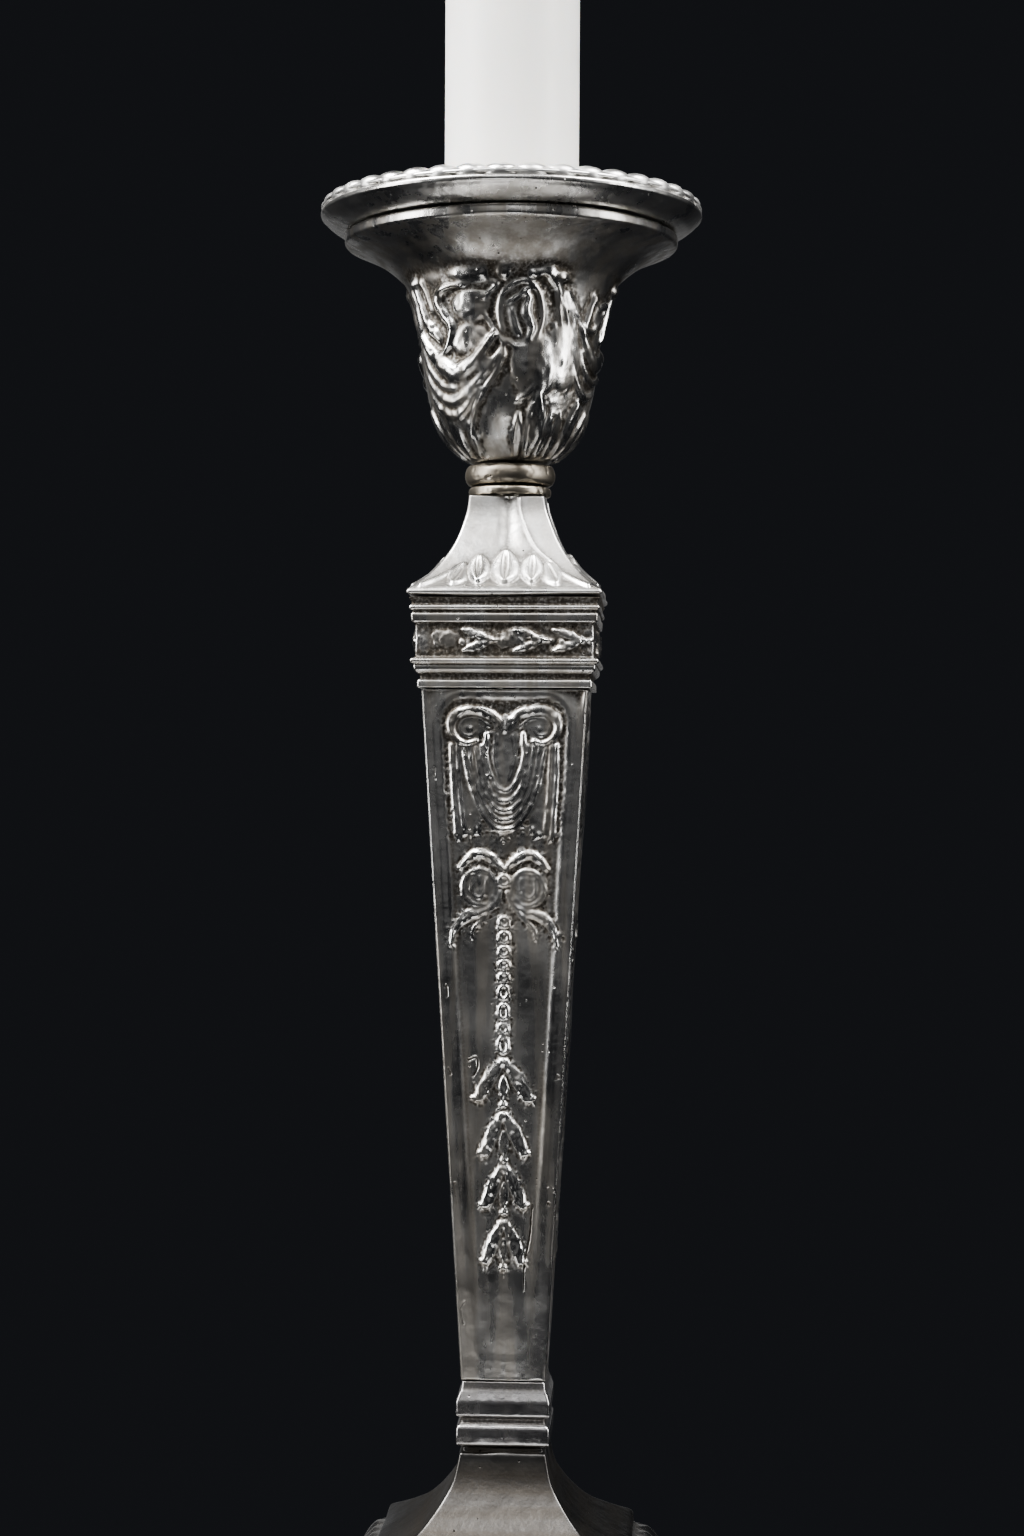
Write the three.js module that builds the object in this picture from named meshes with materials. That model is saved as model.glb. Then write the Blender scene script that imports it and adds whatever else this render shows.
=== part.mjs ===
// A neoclassical silver-plated candlestick: a lift-out nozzle with its candle in a bell-shaped socket,
// a square shoulder and frieze, a tapering square column of four soldered plates, and a loaded square foot.
// One long tie rod clamps the whole stack together. Millimetres, +Z up, front face towards -Y,
// origin at the middle of the felt's underside.
import * as THREE from "three";
import { ConvexGeometry } from "three/addons/geometries/ConvexGeometry.js";

// ---------- Driving dimensions ----------

const SEAM = 0.3; // gap left between two pieces that meet
const WALL = 1.2; // thickness of the stamped and cast shells
const ROUND_SIDES = 40; // facets round a turned piece
const CURVE_STEPS = 4; // straight steps along each arc of an outline
const SPLINE_STEPS = 2; // straight steps from point to point of a spline

// Heights of the underside of each piece, from the table up
const PLATE_Z = 1.3;
const FOOT_Z = 0.4;
const BORDER_Z = 4;
const CUSHION_Z = 31.3;
const NECK_Z = 43.2;
const COLLAR_Z = 62;
const SHAFT_Z = 72.6;
const FRIEZE_Z = 183.5;
const SHOULDER_Z = 198.0;
const FERRULE_Z = 214.8;
const KNOP_Z = 216.6;
const SOCKET_Z = 220.2;
const PAN_Z = 257.5;
const TUBE_Z = 237;
const LOBES_Z = 261.1;

// Half widths of the square pieces, and radii of the round ones
const FOOT_HALF = 61;
const FELT_HALF = 57.8;
const CUSHION_HALF = 26.8;
const PLATFORM_HALF = 20.8;
const COLLAR_HALF = 7.5;
const SHAFT_FOOT_HALF = 6.8;
const SHAFT_HEAD_HALF = 13.2;
const FRIEZE_HALF = 14.2;
const SHOULDER_HALF = 15.6;
const KNOP_R = 7.4;
const LIP_R = 27;
const PAN_R = 31;

// The candle, and the tube that holds it
const CANDLE_R = 11;
const CANDLE_LENGTH = 128;
const CANDLE_FIT = 0.3;
const TUBE_WALL = 0.7;
const SEAT_R = 8.5; // opening in the turned-in floor of the tube
const WICK_R = 0.8;

// The tie rod and what clamps it
const ROD_R = 2.5;
const ROD_HOLE = 2.9;
const NUT_HEIGHT = 4;
const NUT_R = 4.9; // across the corners, halved
const WASHER_THICKNESS = 1;

// ---------- Finishes ----------

const finish = (name, color, roughness, metalness) =>
  new THREE.MeshStandardMaterial({ name, color, roughness, metalness });

const silver = finish("silver_plate", 0xc9c7c2, 0.25, 1);
const dullSilver = finish("dull_silver", 0xa39d90, 0.35, 1);
const steel = finish("zinc_steel", 0x9a9a98, 0.4, 1);
const iron = finish("cast_iron", 0x3a3a3c, 0.7, 0.6);
const felt = finish("green_felt", 0x1f3d2c, 0.95, 0);
const wax = finish("white_wax", 0xf3efe4, 0.5, 0);
const cotton = finish("wick_cotton", 0x4a4138, 0.9, 0);

// ---------- Helpers ----------

const candlestick = new THREE.Group();

function addPiece(name, geometry, material) {
  const mesh = new THREE.Mesh(geometry, material);
  mesh.name = name;
  candlestick.add(mesh);
}

// An outline starts at one point and grows by straight lines and curves; heights are measured from baseZ.
function outline(start, baseZ, draw) {
  const path = new THREE.Path().moveTo(start[0], start[1] + baseZ);
  const pen = {
    line: (...points) => {
      points.forEach(([x, z]) => path.lineTo(x, z + baseZ));
      return pen;
    },
    bend: ([controlX, controlZ], [x, z]) => {
      path.quadraticCurveTo(controlX, controlZ + baseZ, x, z + baseZ);
      return pen;
    },
    through: (...points) => {
      const stops = points.map(([x, z]) => new THREE.Vector2(x, z + baseZ));
      const spline = new THREE.SplineCurve([path.currentPoint.clone(), ...stops]);
      spline.getPoints(SPLINE_STEPS * stops.length).slice(1).forEach((p) => path.lineTo(p.x, p.y));
      return pen;
    },
  };
  draw(pen);
  return path.getPoints(CURVE_STEPS);
}

// The outline set back by a wall's thickness along its normals, in reverse order.
function setBack(points, thickness) {
  return points
    .map((point, i) => {
      const before = points[Math.max(i - 1, 0)];
      const after = points[Math.min(i + 1, points.length - 1)];
      const along = new THREE.Vector2().subVectors(after, before).normalize();
      return new THREE.Vector2(point.x - along.y * thickness, point.y + along.x * thickness);
    })
    .reverse();
}

// A profile swept round the Z axis. One that doesn't start on the axis is closed into a ring.
function sweep(profile, sides, firstCorner, reach) {
  const points = profile.map((p) => new THREE.Vector2(p.x * reach, p.y));
  if (THREE.ShapeUtils.area(points) < 0) points.reverse();
  if (points[0].x > 0) points.push(points[0].clone());
  return new THREE.LatheGeometry(points, sides, firstCorner).rotateX(Math.PI / 2);
}

const turned = (profile, sides = ROUND_SIDES) => sweep(profile, sides, 0, 1);

// A square moulding: four mitred sides, with the profile's x as half the width across the flats.
const squared = (profile) => sweep(profile, 4, Math.PI / 4, Math.SQRT2);

// A plain ring or, with no hole, a disc or slab, as a four-cornered profile.
const band = (inner, outer, bottom, top) =>
  [[inner, bottom], [outer, bottom], [outer, top], [inner, top]].map(([x, z]) => new THREE.Vector2(x, z));

// ---------- The foot ----------

function addFelt() {
  addPiece("felt_pad", squared(band(0, FELT_HALF, 0, PLATE_Z - SEAM)), felt);
}

function addClosingPlate() {
  addPiece("closing_plate", squared(band(0, FELT_HALF - 0.6, PLATE_Z, PLATE_Z + 0.8)), steel);
}

// The broad square foot: an upright rim, a rabbet for the border, a hollow slope and a flat seat on top.
function addFoot() {
  const rabbet = FOOT_HALF - 5;
  const seatZ = CUSHION_Z - SEAM - FOOT_Z;
  const outer = outline([FOOT_HALF, 0], FOOT_Z, (pen) =>
    pen
      .line([FOOT_HALF, BORDER_Z - SEAM - FOOT_Z], [rabbet, BORDER_Z - SEAM - FOOT_Z], [rabbet, 7.9])
      .bend([rabbet - 0.3, 8.9], [rabbet - 2, 8.9])
      .bend([34, 9.5], [CUSHION_HALF + 1.2, seatZ - 1])
      .line([CUSHION_HALF + 1.2, seatZ]),
  );
  const inner = outline([ROD_HOLE, seatZ], FOOT_Z, (pen) =>
    pen
      .line([ROD_HOLE, seatZ - WALL], [CUSHION_HALF, seatZ - WALL], [CUSHION_HALF, seatZ - 2.2])
      .bend([32.8, 8], [rabbet - 3, 7.4])
      .line([rabbet - 1.2, 7.2], [rabbet - 1.2, 2.1], [FELT_HALF + 0.6, 2.1], [FELT_HALF + 0.6, 0]),
  );
  addPiece("foot", squared([...outer, ...inner]), silver);
}

function addFootBorder() {
  const high = 4;
  const profile = outline([FOOT_HALF - 0.2, 0], BORDER_Z, (pen) =>
    pen.bend([FOOT_HALF + 0.6, high], [FOOT_HALF - 3, high]).line([FOOT_HALF - 4.7, high - 0.4], [FOOT_HALF - 4.7, 0]),
  );
  addPiece("foot_border", squared(profile), silver);
}

// The swelling square stage under the neck.
function addCushion() {
  const height = NECK_Z - SEAM - CUSHION_Z;
  const outer = outline([CUSHION_HALF - 0.9, 0], CUSHION_Z, (pen) =>
    pen.bend([CUSHION_HALF + 0.2, 0.4], [CUSHION_HALF, 1.6]).bend([25.4, 7], [PLATFORM_HALF + 0.7, height]),
  );
  const inner = outline([ROD_HOLE, height], CUSHION_Z, (pen) =>
    pen.line([ROD_HOLE, height - WALL], [PLATFORM_HALF - 0.8, height - WALL]).bend([23.6, 6], [CUSHION_HALF - 2, 0]),
  );
  addPiece("foot_cushion", squared([...outer, ...inner]), silver);
}

// The neck flares down in a hollow curve from the collar to a square platform.
function addNeck() {
  const flare = [[7.8, 13.4], [9.1, 11], [11, 8.4], [13.3, 6], [15.8, 4.3], [20.2, 1.8]];
  const height = COLLAR_Z - SEAM - NECK_Z;
  const outer = outline([SHAFT_FOOT_HALF, height], NECK_Z, (pen) =>
    pen.through([7.1, 16.2], ...flare).line([PLATFORM_HALF, 1.2], [PLATFORM_HALF, 0]),
  );
  const inner = outline([PLATFORM_HALF - WALL, 0], NECK_Z, (pen) =>
    pen
      .line([PLATFORM_HALF - WALL, 0.4])
      .through(...flare.map(([x, z]) => [x - WALL * 0.9, z - WALL * 0.9]).reverse())
      .line([SHAFT_FOOT_HALF - WALL, height - WALL], [ROD_HOLE, height - WALL], [ROD_HOLE, height]),
  );
  addPiece("foot_neck", squared([...outer, ...inner]), silver);
}

// A cast-iron weight fills the foot. The bottom nut and washer sit in its counterbore.
function addWeight() {
  const profile = outline([ROD_HOLE, 9], 0, (pen) =>
    pen
      .line([ROD_HOLE, 29.2], [CUSHION_HALF - 1, 29.2])
      .bend([31, 7.6], [50, 6.4])
      .line([50, 3.4], [9, 3.4], [9, 9]),
  );
  addPiece("foot_weight", squared(profile), iron);
}

// ---------- The column ----------

function addCollar() {
  const profile = outline([COLLAR_HALF - 0.4, 0], COLLAR_Z, (pen) =>
    pen
      .bend([COLLAR_HALF, 0], [COLLAR_HALF, 0.5])
      .line([COLLAR_HALF, 3.1])
      .bend([COLLAR_HALF, 3.7], [COLLAR_HALF - 0.6, 4])
      .line([COLLAR_HALF - 0.6, 4.7])
      .bend([COLLAR_HALF + 0.05, 4.8], [COLLAR_HALF + 0.05, 5.3])
      .line([COLLAR_HALF + 0.05, 7.6])
      .bend([COLLAR_HALF - 0.1, 8.6], [SHAFT_FOOT_HALF, 10.3])
      .line([SHAFT_FOOT_HALF - WALL, 10.3], [SHAFT_FOOT_HALF - WALL, 0]),
  );
  addPiece("column_collar", squared(profile), silver);
}

// Each of the column's four plates tapers downwards, with mitred edges.
function addColumnPlates() {
  const top = FRIEZE_Z - SEAM;
  const corners = [
    [SHAFT_FOOT_HALF, SHAFT_Z],
    [SHAFT_HEAD_HALF, top],
  ].flatMap(([half, z]) =>
    [0, WALL].flatMap((inset) =>
      [-1, 1].map((side) => new THREE.Vector3(side * (half - inset - SEAM / 2), inset - half, z)),
    ),
  );
  ["front", "right", "back", "left"].forEach((side, i) => {
    const plate = new ConvexGeometry(corners).rotateZ((i * Math.PI) / 2);
    addPiece(`column_plate_${side}`, plate, silver);
  });
}

// The frieze block, from its lowest band up to the cornice under the shoulder.
function addFrieze() {
  const bead = (z) => [
    [FRIEZE_HALF + 0.3, z],
    [FRIEZE_HALF + 0.8, z + 0.25],
    [FRIEZE_HALF + 0.8, z + 0.75],
    [FRIEZE_HALF + 0.3, z + 1],
  ];
  const profile = outline([FRIEZE_HALF - 0.3, 0], FRIEZE_Z, (pen) =>
    pen
      .line([FRIEZE_HALF - 0.3, 1.2], [FRIEZE_HALF - 0.7, 1.4], [FRIEZE_HALF - 0.7, 2])
      .bend([FRIEZE_HALF + 0.3, 2.2], [FRIEZE_HALF + 0.3, 3.4])
      .line(...bead(3.7), [FRIEZE_HALF, 4.8], [FRIEZE_HALF, 10.1], [FRIEZE_HALF + 0.5, 10.3])
      .line([FRIEZE_HALF + 0.7, 11.6], ...bead(12))
      .bend([FRIEZE_HALF + 0.4, 13.8], [SHOULDER_HALF - 0.4, 14.2])
      .line([FRIEZE_HALF - WALL - 0.6, 14.2], [FRIEZE_HALF - WALL - 0.6, 0]),
  );
  addPiece("frieze_block", squared(profile), silver);
}

function addShoulder() {
  const flare = [[6.3, 14.1], [7, 12.2], [8, 9.6], [9.4, 7], [11.2, 4.6], [13.3, 2.6]];
  const height = FERRULE_Z - SEAM - SHOULDER_Z;
  const outer = outline([5.9, height], SHOULDER_Z, (pen) =>
    pen.through(...flare, [SHOULDER_HALF - 0.4, 1.2]).bend([SHOULDER_HALF + 0.3, 0.6], [SHOULDER_HALF - 0.2, 0]),
  );
  const inner = outline([SHOULDER_HALF - 3, 0], SHOULDER_Z, (pen) =>
    pen
      .line([SHOULDER_HALF - 3, 0.5])
      .through(...flare.slice(1).map(([x, z]) => [x - WALL * 0.8, z - WALL * 0.9]).reverse())
      .line([5, height - WALL], [ROD_HOLE, height - WALL], [ROD_HOLE, height]),
  );
  addPiece("shoulder", squared([...outer, ...inner]), silver);
}

function addFerrule() {
  addPiece("neck_ferrule", turned(band(ROD_HOLE, KNOP_R - 0.7, FERRULE_Z, KNOP_Z - SEAM)), dullSilver);
}

function addKnop() {
  const height = SOCKET_Z - SEAM - KNOP_Z;
  const profile = outline([ROD_HOLE, 0], KNOP_Z, (pen) =>
    pen
      .line([KNOP_R - 0.5, 0])
      .bend([KNOP_R + 0.3, height * 0.45], [KNOP_R - 0.5, height])
      .line([ROD_HOLE, height]),
  );
  addPiece("knop_ring", turned(profile), dullSilver);
}

// ---------- The socket ----------

// A bell: rounded below, swelling to a shoulder, then flaring to a broad lip.
function addSocket() {
  const lipZ = PAN_Z - SEAM - SOCKET_Z;
  const bell = [[7.6, 1], [10.6, 3.8], [13.1, 8.3], [14.6, 17.2], [15.6, 24], [17.6, 29.8], [21, 33], [LIP_R - 1, 35.6]];
  const outer = outline([6.4, 0], SOCKET_Z, (pen) => pen.through(...bell));
  const lip = outline([LIP_R, 36], SOCKET_Z, (pen) => pen.line([LIP_R, lipZ - 0.2], [LIP_R - 0.4, lipZ]));
  const floorTop = 2;
  const inner = setBack(outer, WALL).filter((p) => p.y > SOCKET_Z + floorTop + 0.5);
  const floor = outline([NUT_R + 2, floorTop], SOCKET_Z, (pen) => pen.line([ROD_HOLE, floorTop], [ROD_HOLE, 0]));
  addPiece("socket_bell", turned([...outer, ...lip, ...inner, ...floor]), silver);
}

// ---------- The lift-out nozzle ----------

function addDripPan() {
  const tubeR = CANDLE_R + CANDLE_FIT + TUBE_WALL;
  const profile = outline([tubeR + SEAM, 0.7], PAN_Z, (pen) =>
    pen
      .line([LIP_R - 3, 0], [LIP_R, 0])
      .bend([PAN_R - 1.5, 0.4], [PAN_R - 0.3, 2.2])
      .line([PAN_R, 2.4], [PAN_R, 3.3], [LIP_R + 1, 3.2])
      .bend([LIP_R - 0.6, 1.4], [LIP_R - 4, 1.2])
      .line([tubeR + SEAM, 1.5]),
  );
  addPiece("drip_pan", turned(profile), silver);
}

// The rim's ornament, as the plain ring that its lobes fill.
function addPanBorder() {
  const profile = outline([LIP_R + 1.4, 0], LOBES_Z, (pen) =>
    pen.line([PAN_R, 0]).bend([PAN_R + 0.1, 1.4], [PAN_R - 1.2, 1.6]).bend([LIP_R + 1.6, 1.6], [LIP_R + 1.4, 0.2]),
  );
  addPiece("pan_border", turned(profile), silver);
}

// The tube hangs from a rolled rim on the pan, and its turned-in floor is the candle's seat.
function addCandleTube() {
  const bore = CANDLE_R + CANDLE_FIT;
  const outside = bore + TUBE_WALL;
  const rimZ = PAN_Z + 1.5 + SEAM - TUBE_Z;
  const profile = outline([SEAT_R, 0], TUBE_Z, (pen) =>
    pen
      .line([outside - 0.5, 0])
      .bend([outside, 0], [outside, 0.6])
      .line([outside, rimZ], [outside + 1.7, rimZ])
      .bend([outside + 1.7, rimZ + 1], [outside, rimZ + 1.1])
      .bend([bore, rimZ + 1.1], [bore, rimZ + 0.3])
      .line([bore, 1.2], [SEAT_R, 1.2]),
  );
  addPiece("candle_tube", turned(profile), silver);
}

// ---------- The candle ----------

function addCandle() {
  const bottom = TUBE_Z + 1.2 + SEAM;
  const profile = outline([0, 0], bottom, (pen) =>
    pen
      .line([CANDLE_R - 0.5, 0], [CANDLE_R, 0.6], [CANDLE_R, CANDLE_LENGTH - 7])
      .bend([CANDLE_R, CANDLE_LENGTH - 1], [3.5, CANDLE_LENGTH])
      .line([WICK_R + SEAM, CANDLE_LENGTH - 0.2], [WICK_R + SEAM, CANDLE_LENGTH - 9], [0, CANDLE_LENGTH - 9]),
  );
  addPiece("candle", turned(profile), wax);
  const wickZ = bottom + CANDLE_LENGTH - 9 + SEAM;
  addPiece("wick", turned(band(0, WICK_R, wickZ, wickZ + 17), 10), cotton);
}

// ---------- The tie rod ----------

function addTieRod() {
  const rodTop = SOCKET_Z + 9;
  const floorZ = SOCKET_Z + 2 + SEAM;
  addPiece("tie_rod", turned(band(0, ROD_R, 2.8, rodTop), 16), steel);

  const washer = (name, bottom) =>
    addPiece(name, turned(band(ROD_HOLE, NUT_R + 1.6, bottom, bottom + WASHER_THICKNESS), 24), steel);
  const nut = (name, bottom) =>
    addPiece(name, turned(band(ROD_HOLE + 0.4, NUT_R, bottom, bottom + NUT_HEIGHT), 6), steel);
  washer("socket_washer", floorZ);
  nut("socket_nut", floorZ + WASHER_THICKNESS + SEAM);
  washer("foot_washer", 9 - SEAM - WASHER_THICKNESS);
  nut("foot_nut", 9 - 2 * SEAM - WASHER_THICKNESS - NUT_HEIGHT);
}

// Square plates with a hole keep the rod in the middle of the column.
function addCentringPlates() {
  const plate = (name, half, bottom) => addPiece(name, squared(band(ROD_HOLE, half, bottom, bottom + 1.5)), steel);
  plate("upper_centring_plate", FRIEZE_HALF - WALL - 0.9, FRIEZE_Z + 0.5);
  plate("lower_centring_plate", SHAFT_FOOT_HALF - WALL - SEAM, COLLAR_Z + 2);
}

addFelt();
addClosingPlate();
addFoot();
addFootBorder();
addCushion();
addNeck();
addWeight();
addCollar();
addColumnPlates();
addFrieze();
addShoulder();
addFerrule();
addKnop();
addSocket();
addDripPan();
addPanBorder();
addCandleTube();
addCandle();
addTieRod();
addCentringPlates();

export default candlestick;
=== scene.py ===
# %% [markdown]
# # A silver candlestick, built over its working frame
#
# The design of this candlestick is already settled: which pieces it has, how big they are, and how the
# nozzle and the candle lift out. This lesson gives those plain pieces their looks. Most of them are swept
# outlines of worn, tarnished silver plate that carry chased relief: a ram's mask over hanging drapery, a
# ribbon bow, a string of beads and bellflowers, swags on the vase, and lobed borders.
#
# Everything below is worked out in millimetres and only turned into metres where a mesh is made.

# %% Load the frame
import math

import bpy
import numpy as np
from mathutils import Matrix, Vector


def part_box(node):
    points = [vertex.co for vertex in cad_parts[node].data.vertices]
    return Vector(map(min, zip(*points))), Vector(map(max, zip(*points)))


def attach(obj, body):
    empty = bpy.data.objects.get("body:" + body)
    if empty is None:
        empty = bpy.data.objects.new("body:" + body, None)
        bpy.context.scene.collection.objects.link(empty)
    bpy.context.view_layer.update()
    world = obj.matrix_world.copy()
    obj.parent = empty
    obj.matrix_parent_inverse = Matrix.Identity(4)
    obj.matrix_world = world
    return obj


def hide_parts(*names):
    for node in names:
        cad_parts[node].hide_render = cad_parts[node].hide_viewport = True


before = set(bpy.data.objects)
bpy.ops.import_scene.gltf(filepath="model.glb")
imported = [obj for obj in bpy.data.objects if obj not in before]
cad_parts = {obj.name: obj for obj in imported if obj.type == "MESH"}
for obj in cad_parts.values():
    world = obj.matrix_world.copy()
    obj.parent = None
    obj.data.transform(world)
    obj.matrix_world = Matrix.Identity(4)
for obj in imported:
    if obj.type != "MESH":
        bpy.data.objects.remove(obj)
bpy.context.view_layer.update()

MM = 0.001
print("pieces in the frame:", ", ".join(sorted(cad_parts)))

# %% [markdown]
# ## Measuring the frame
#
# Each piece of the frame knows its own lowest and highest corner. The candlestick stands on the origin with
# its axis upright, so a piece is described well enough by half its width and by the heights of its bottom
# and top. Reading these here means that no size is typed twice.

# %% Half width, bottom and top of a piece
def extent(node):
    low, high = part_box(node)
    return high.x / MM, low.z / MM, high.z / MM


for node in ("foot", "column_plate_front", "socket_bell", "drip_pan", "candle"):
    print(node, [round(value, 1) for value in extent(node)])

# %% [markdown]
# ## Drawing an outline
#
# A turned or square moulding begins as an outline: half width against height. Cast silver has no razor
# edges, because buffing eases every corner. So an outline is drawn with straight lines and a few smooth
# curves, set out in even steps, and then averaged with its neighbours, which rounds the corners a little.

# %% Outlines with eased corners
STEP = 0.22  # distance between rows on the chased pieces


def lifted(bottom, *places):
    """Places given as half width, and height above the bottom."""
    return [(half, bottom + rise) for half, rise in places]


def inset(edge, bottom, *places):
    """Places given as distance inside the edge, and height above the bottom."""
    return [(edge - inside, bottom + rise) for inside, rise in places]


def smooth(points, parts=12):
    """A Catmull-Rom curve through the points."""
    points = np.array(points, float)
    padded = np.vstack([2 * points[0] - points[1], points, 2 * points[-1] - points[-2]])
    t = np.linspace(0, 1, parts, endpoint=False)[:, None]
    pieces = []
    for a, b, c, d in zip(padded, padded[1:], padded[2:], padded[3:]):
        cubic = -a + 3 * b - 3 * c + d
        square = 2 * a - 5 * b + 4 * c - d
        pieces.append(0.5 * (2 * b + (c - a) * t + square * t**2 + cubic * t**3))
    return np.vstack(pieces + [points[-1:]])


def evenly(points, step):
    """The same path with its points set out at even distances."""
    points = np.array(points, float)
    lengths = np.hypot(*np.diff(points, axis=0).T)
    travelled = np.concatenate([[0], np.cumsum(lengths)])
    places = np.linspace(0, travelled[-1], max(2, int(math.ceil(travelled[-1] / step)) + 1))
    return np.column_stack([np.interp(places, travelled, points[:, i]) for i in (0, 1)])


def outline(*parts, step=STEP, ease=0.16):
    """One outline from lists of points, with its corners eased over about the given distance."""
    path = evenly(np.vstack([np.array(part, float) for part in parts]), step)
    reach = min(max(1, int(round(3 * ease / step))), len(path) - 1)
    weights = np.exp(-0.5 * (np.arange(-reach, reach + 1) * step / ease) ** 2)
    before = 2 * path[0] - path[reach:0:-1]
    after = 2 * path[-1] - path[-2 : -reach - 2 : -1]
    padded = np.vstack([before, path, after])
    eased = sum(w * padded[i : i + len(path)] for i, w in enumerate(weights / weights.sum()))
    eased[0], eased[-1] = path[0], path[-1]
    return eased


# %% [markdown]
# ## From outline to metal
#
# Sweeping an outline round a circle gives a turned piece, and round a square with slightly rounded arrises
# gives a mitred moulding. Both are a grid of rows and columns, so one function can build either. A second,
# coarser outline closes the inside, because each piece is a real shell of metal. The relief pushes every
# point out along the outline's own normal, as a punch would from behind.

# %% Grids of points, and the shapes that they go round
def round_ring(columns):
    """Turned: places at even angles, starting at the front and turning towards the right."""
    angles = np.linspace(0, 2 * np.pi, columns, endpoint=False)
    return lambda half: (half * np.sin(angles), -half * np.cos(angles))


def square_ring(columns, arris):
    """Square: four sides, front first, with this many columns each, and arrises rounded to this radius."""
    across = np.tile(np.linspace(-1, 1, columns, endpoint=False), 4)
    quarter = np.repeat(np.arange(4), columns) * np.pi / 2
    cosine, sine = np.round(np.cos(quarter)), np.round(np.sin(quarter))

    def place(half):
        radius = np.minimum(arris, half * 0.4)
        flat = np.clip(half * (1 - np.abs(across)) / radius, 0, 1)
        turn = (1 - flat) * np.pi / 4
        x = np.where(flat < 1, np.sign(across) * (half - radius + radius * np.sin(turn)), half * across)
        y = np.where(flat < 1, -(half - radius + radius * np.cos(turn)), -half)
        return x * cosine - y * sine, x * sine + y * cosine

    return place


def outward(path):
    """Unit normals of an outline that runs upwards, pointing away from the axis."""
    along = np.gradient(path, axis=0)
    normal = np.column_stack([along[:, 1], -along[:, 0]])
    return normal / np.hypot(*normal.T)[:, None]


def sweep(ring, columns, outer, inner, relief):
    """Rows of points for a shell: up the outer outline, carrying the relief, and back down the inner one."""
    normal = outward(outer)
    half = outer[:, :1] + relief * normal[:, :1] + np.zeros((1, columns))
    level = outer[:, 1:] + relief * normal[:, 1:] + np.zeros((1, columns))
    inner = np.array(inner, float).reshape(-1, 2)
    half = np.vstack([half, np.repeat(inner[:, :1], columns, axis=1)])
    level = np.vstack([level, np.repeat(inner[:, 1:], columns, axis=1)])
    return np.array([np.column_stack([*ring(h), z]) for h, z in zip(half, level)])


# %% [markdown]
# ## Meshes that know where they are hollow
#
# Old silver is bright where a cloth reaches and dark where it can't. To paint that later, every point gets a
# number called recess: the average height of the relief around it, less its own height. High points come out
# negative and polished, and the ground between two folds comes out positive and tarnished. It is stored on
# the mesh as an attribute, which a material can read. Some pieces add painted shade to it as well, where
# noted.

# %% A mesh from rows of points
def blurred(field, cells, wrap=False):
    """The field averaged over a bell curve of the given width in cells. Columns may wrap round."""
    reach = max(1, int(3 * cells))
    weights = np.exp(-0.5 * (np.arange(-reach, reach + 1) / cells) ** 2)
    weights /= weights.sum()
    for axis in (0, 1):
        edges = "wrap" if wrap and axis == 1 else "edge"
        margin = [(reach, reach) if i == axis else (0, 0) for i in (0, 1)]
        padded = np.pad(field, margin, mode=edges)
        span = field.shape[axis]
        take = (lambda i: padded[i : i + span]) if axis == 0 else (lambda i: padded[:, i : i + span])
        field = sum(w * take(i) for i, w in enumerate(weights))
    return field


def recess_of(relief, cells=4, wrap=False):
    """How far each place lies below its surroundings, in millimetres."""
    return blurred(relief, cells, wrap) - relief


def new_mesh(name, points, faces, recess):
    """A mesh object from points in millimetres, with its faces outwards and smooth."""
    mesh = bpy.data.meshes.new(name)
    mesh.from_pydata((points * MM).tolist(), [], faces)
    mesh.polygons.foreach_set("use_smooth", [len(face) < 5 for face in faces])
    attribute = mesh.attributes.new("recess", "FLOAT", "POINT")
    attribute.data.foreach_set("value", recess.astype(np.float32))
    mesh.update()
    thing = bpy.data.objects.new(name, mesh)
    bpy.context.scene.collection.objects.link(thing)
    return thing


def quads(rows, columns, closed_rows):
    """Four corners of each face of a grid whose columns wrap round, and whose rows may too."""
    used = rows if closed_rows else rows - 1
    row, column = np.meshgrid(np.arange(used), np.arange(columns), indexing="ij")
    below, above = row * columns, (row + 1) % rows * columns
    right = (column + 1) % columns
    corners = np.stack([below + column, below + right, above + right, above + column], axis=-1)
    return corners.reshape(-1, 4).tolist()


def ring_mesh(name, grid, recess):
    """A closed ring of metal: rows of points that run up the outside and come back down the inside."""
    rows, columns = grid.shape[:2]
    tarnish_and_painted_shade = np.zeros((rows, columns))
    tarnish_and_painted_shade[: len(recess)] = recess
    return new_mesh(name, grid.reshape(-1, 3), quads(rows, columns, closed_rows=True), tarnish_and_painted_shade.ravel())


def solid_mesh(name, grid, recess):
    """A closed solid: rows of points from the bottom of the axis to its top, with a pole at each end."""
    rows, columns = grid.shape[:2]
    points = np.vstack([grid.reshape(-1, 3), grid[0].mean(0), grid[-1].mean(0)])
    faces = quads(rows, columns, closed_rows=False)
    low, high, last = len(points) - 2, len(points) - 1, (rows - 1) * columns
    for i in range(columns):
        j = (i + 1) % columns
        faces += [[j, i, low], [last + i, last + j, high]]
    return new_mesh(name, points, faces, np.append(recess.ravel(), [0, 0]))


# %% [markdown]
# ## Punches for chasing
#
# A chaser works with a handful of punches: one that raises a line, one that raises a bead, one that shapes a
# leaf. The helpers here are those punches. Each takes the places of a whole face at once, x across and z up,
# and gives the height of metal it raises there. The taller of two overlapping marks wins.

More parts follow.
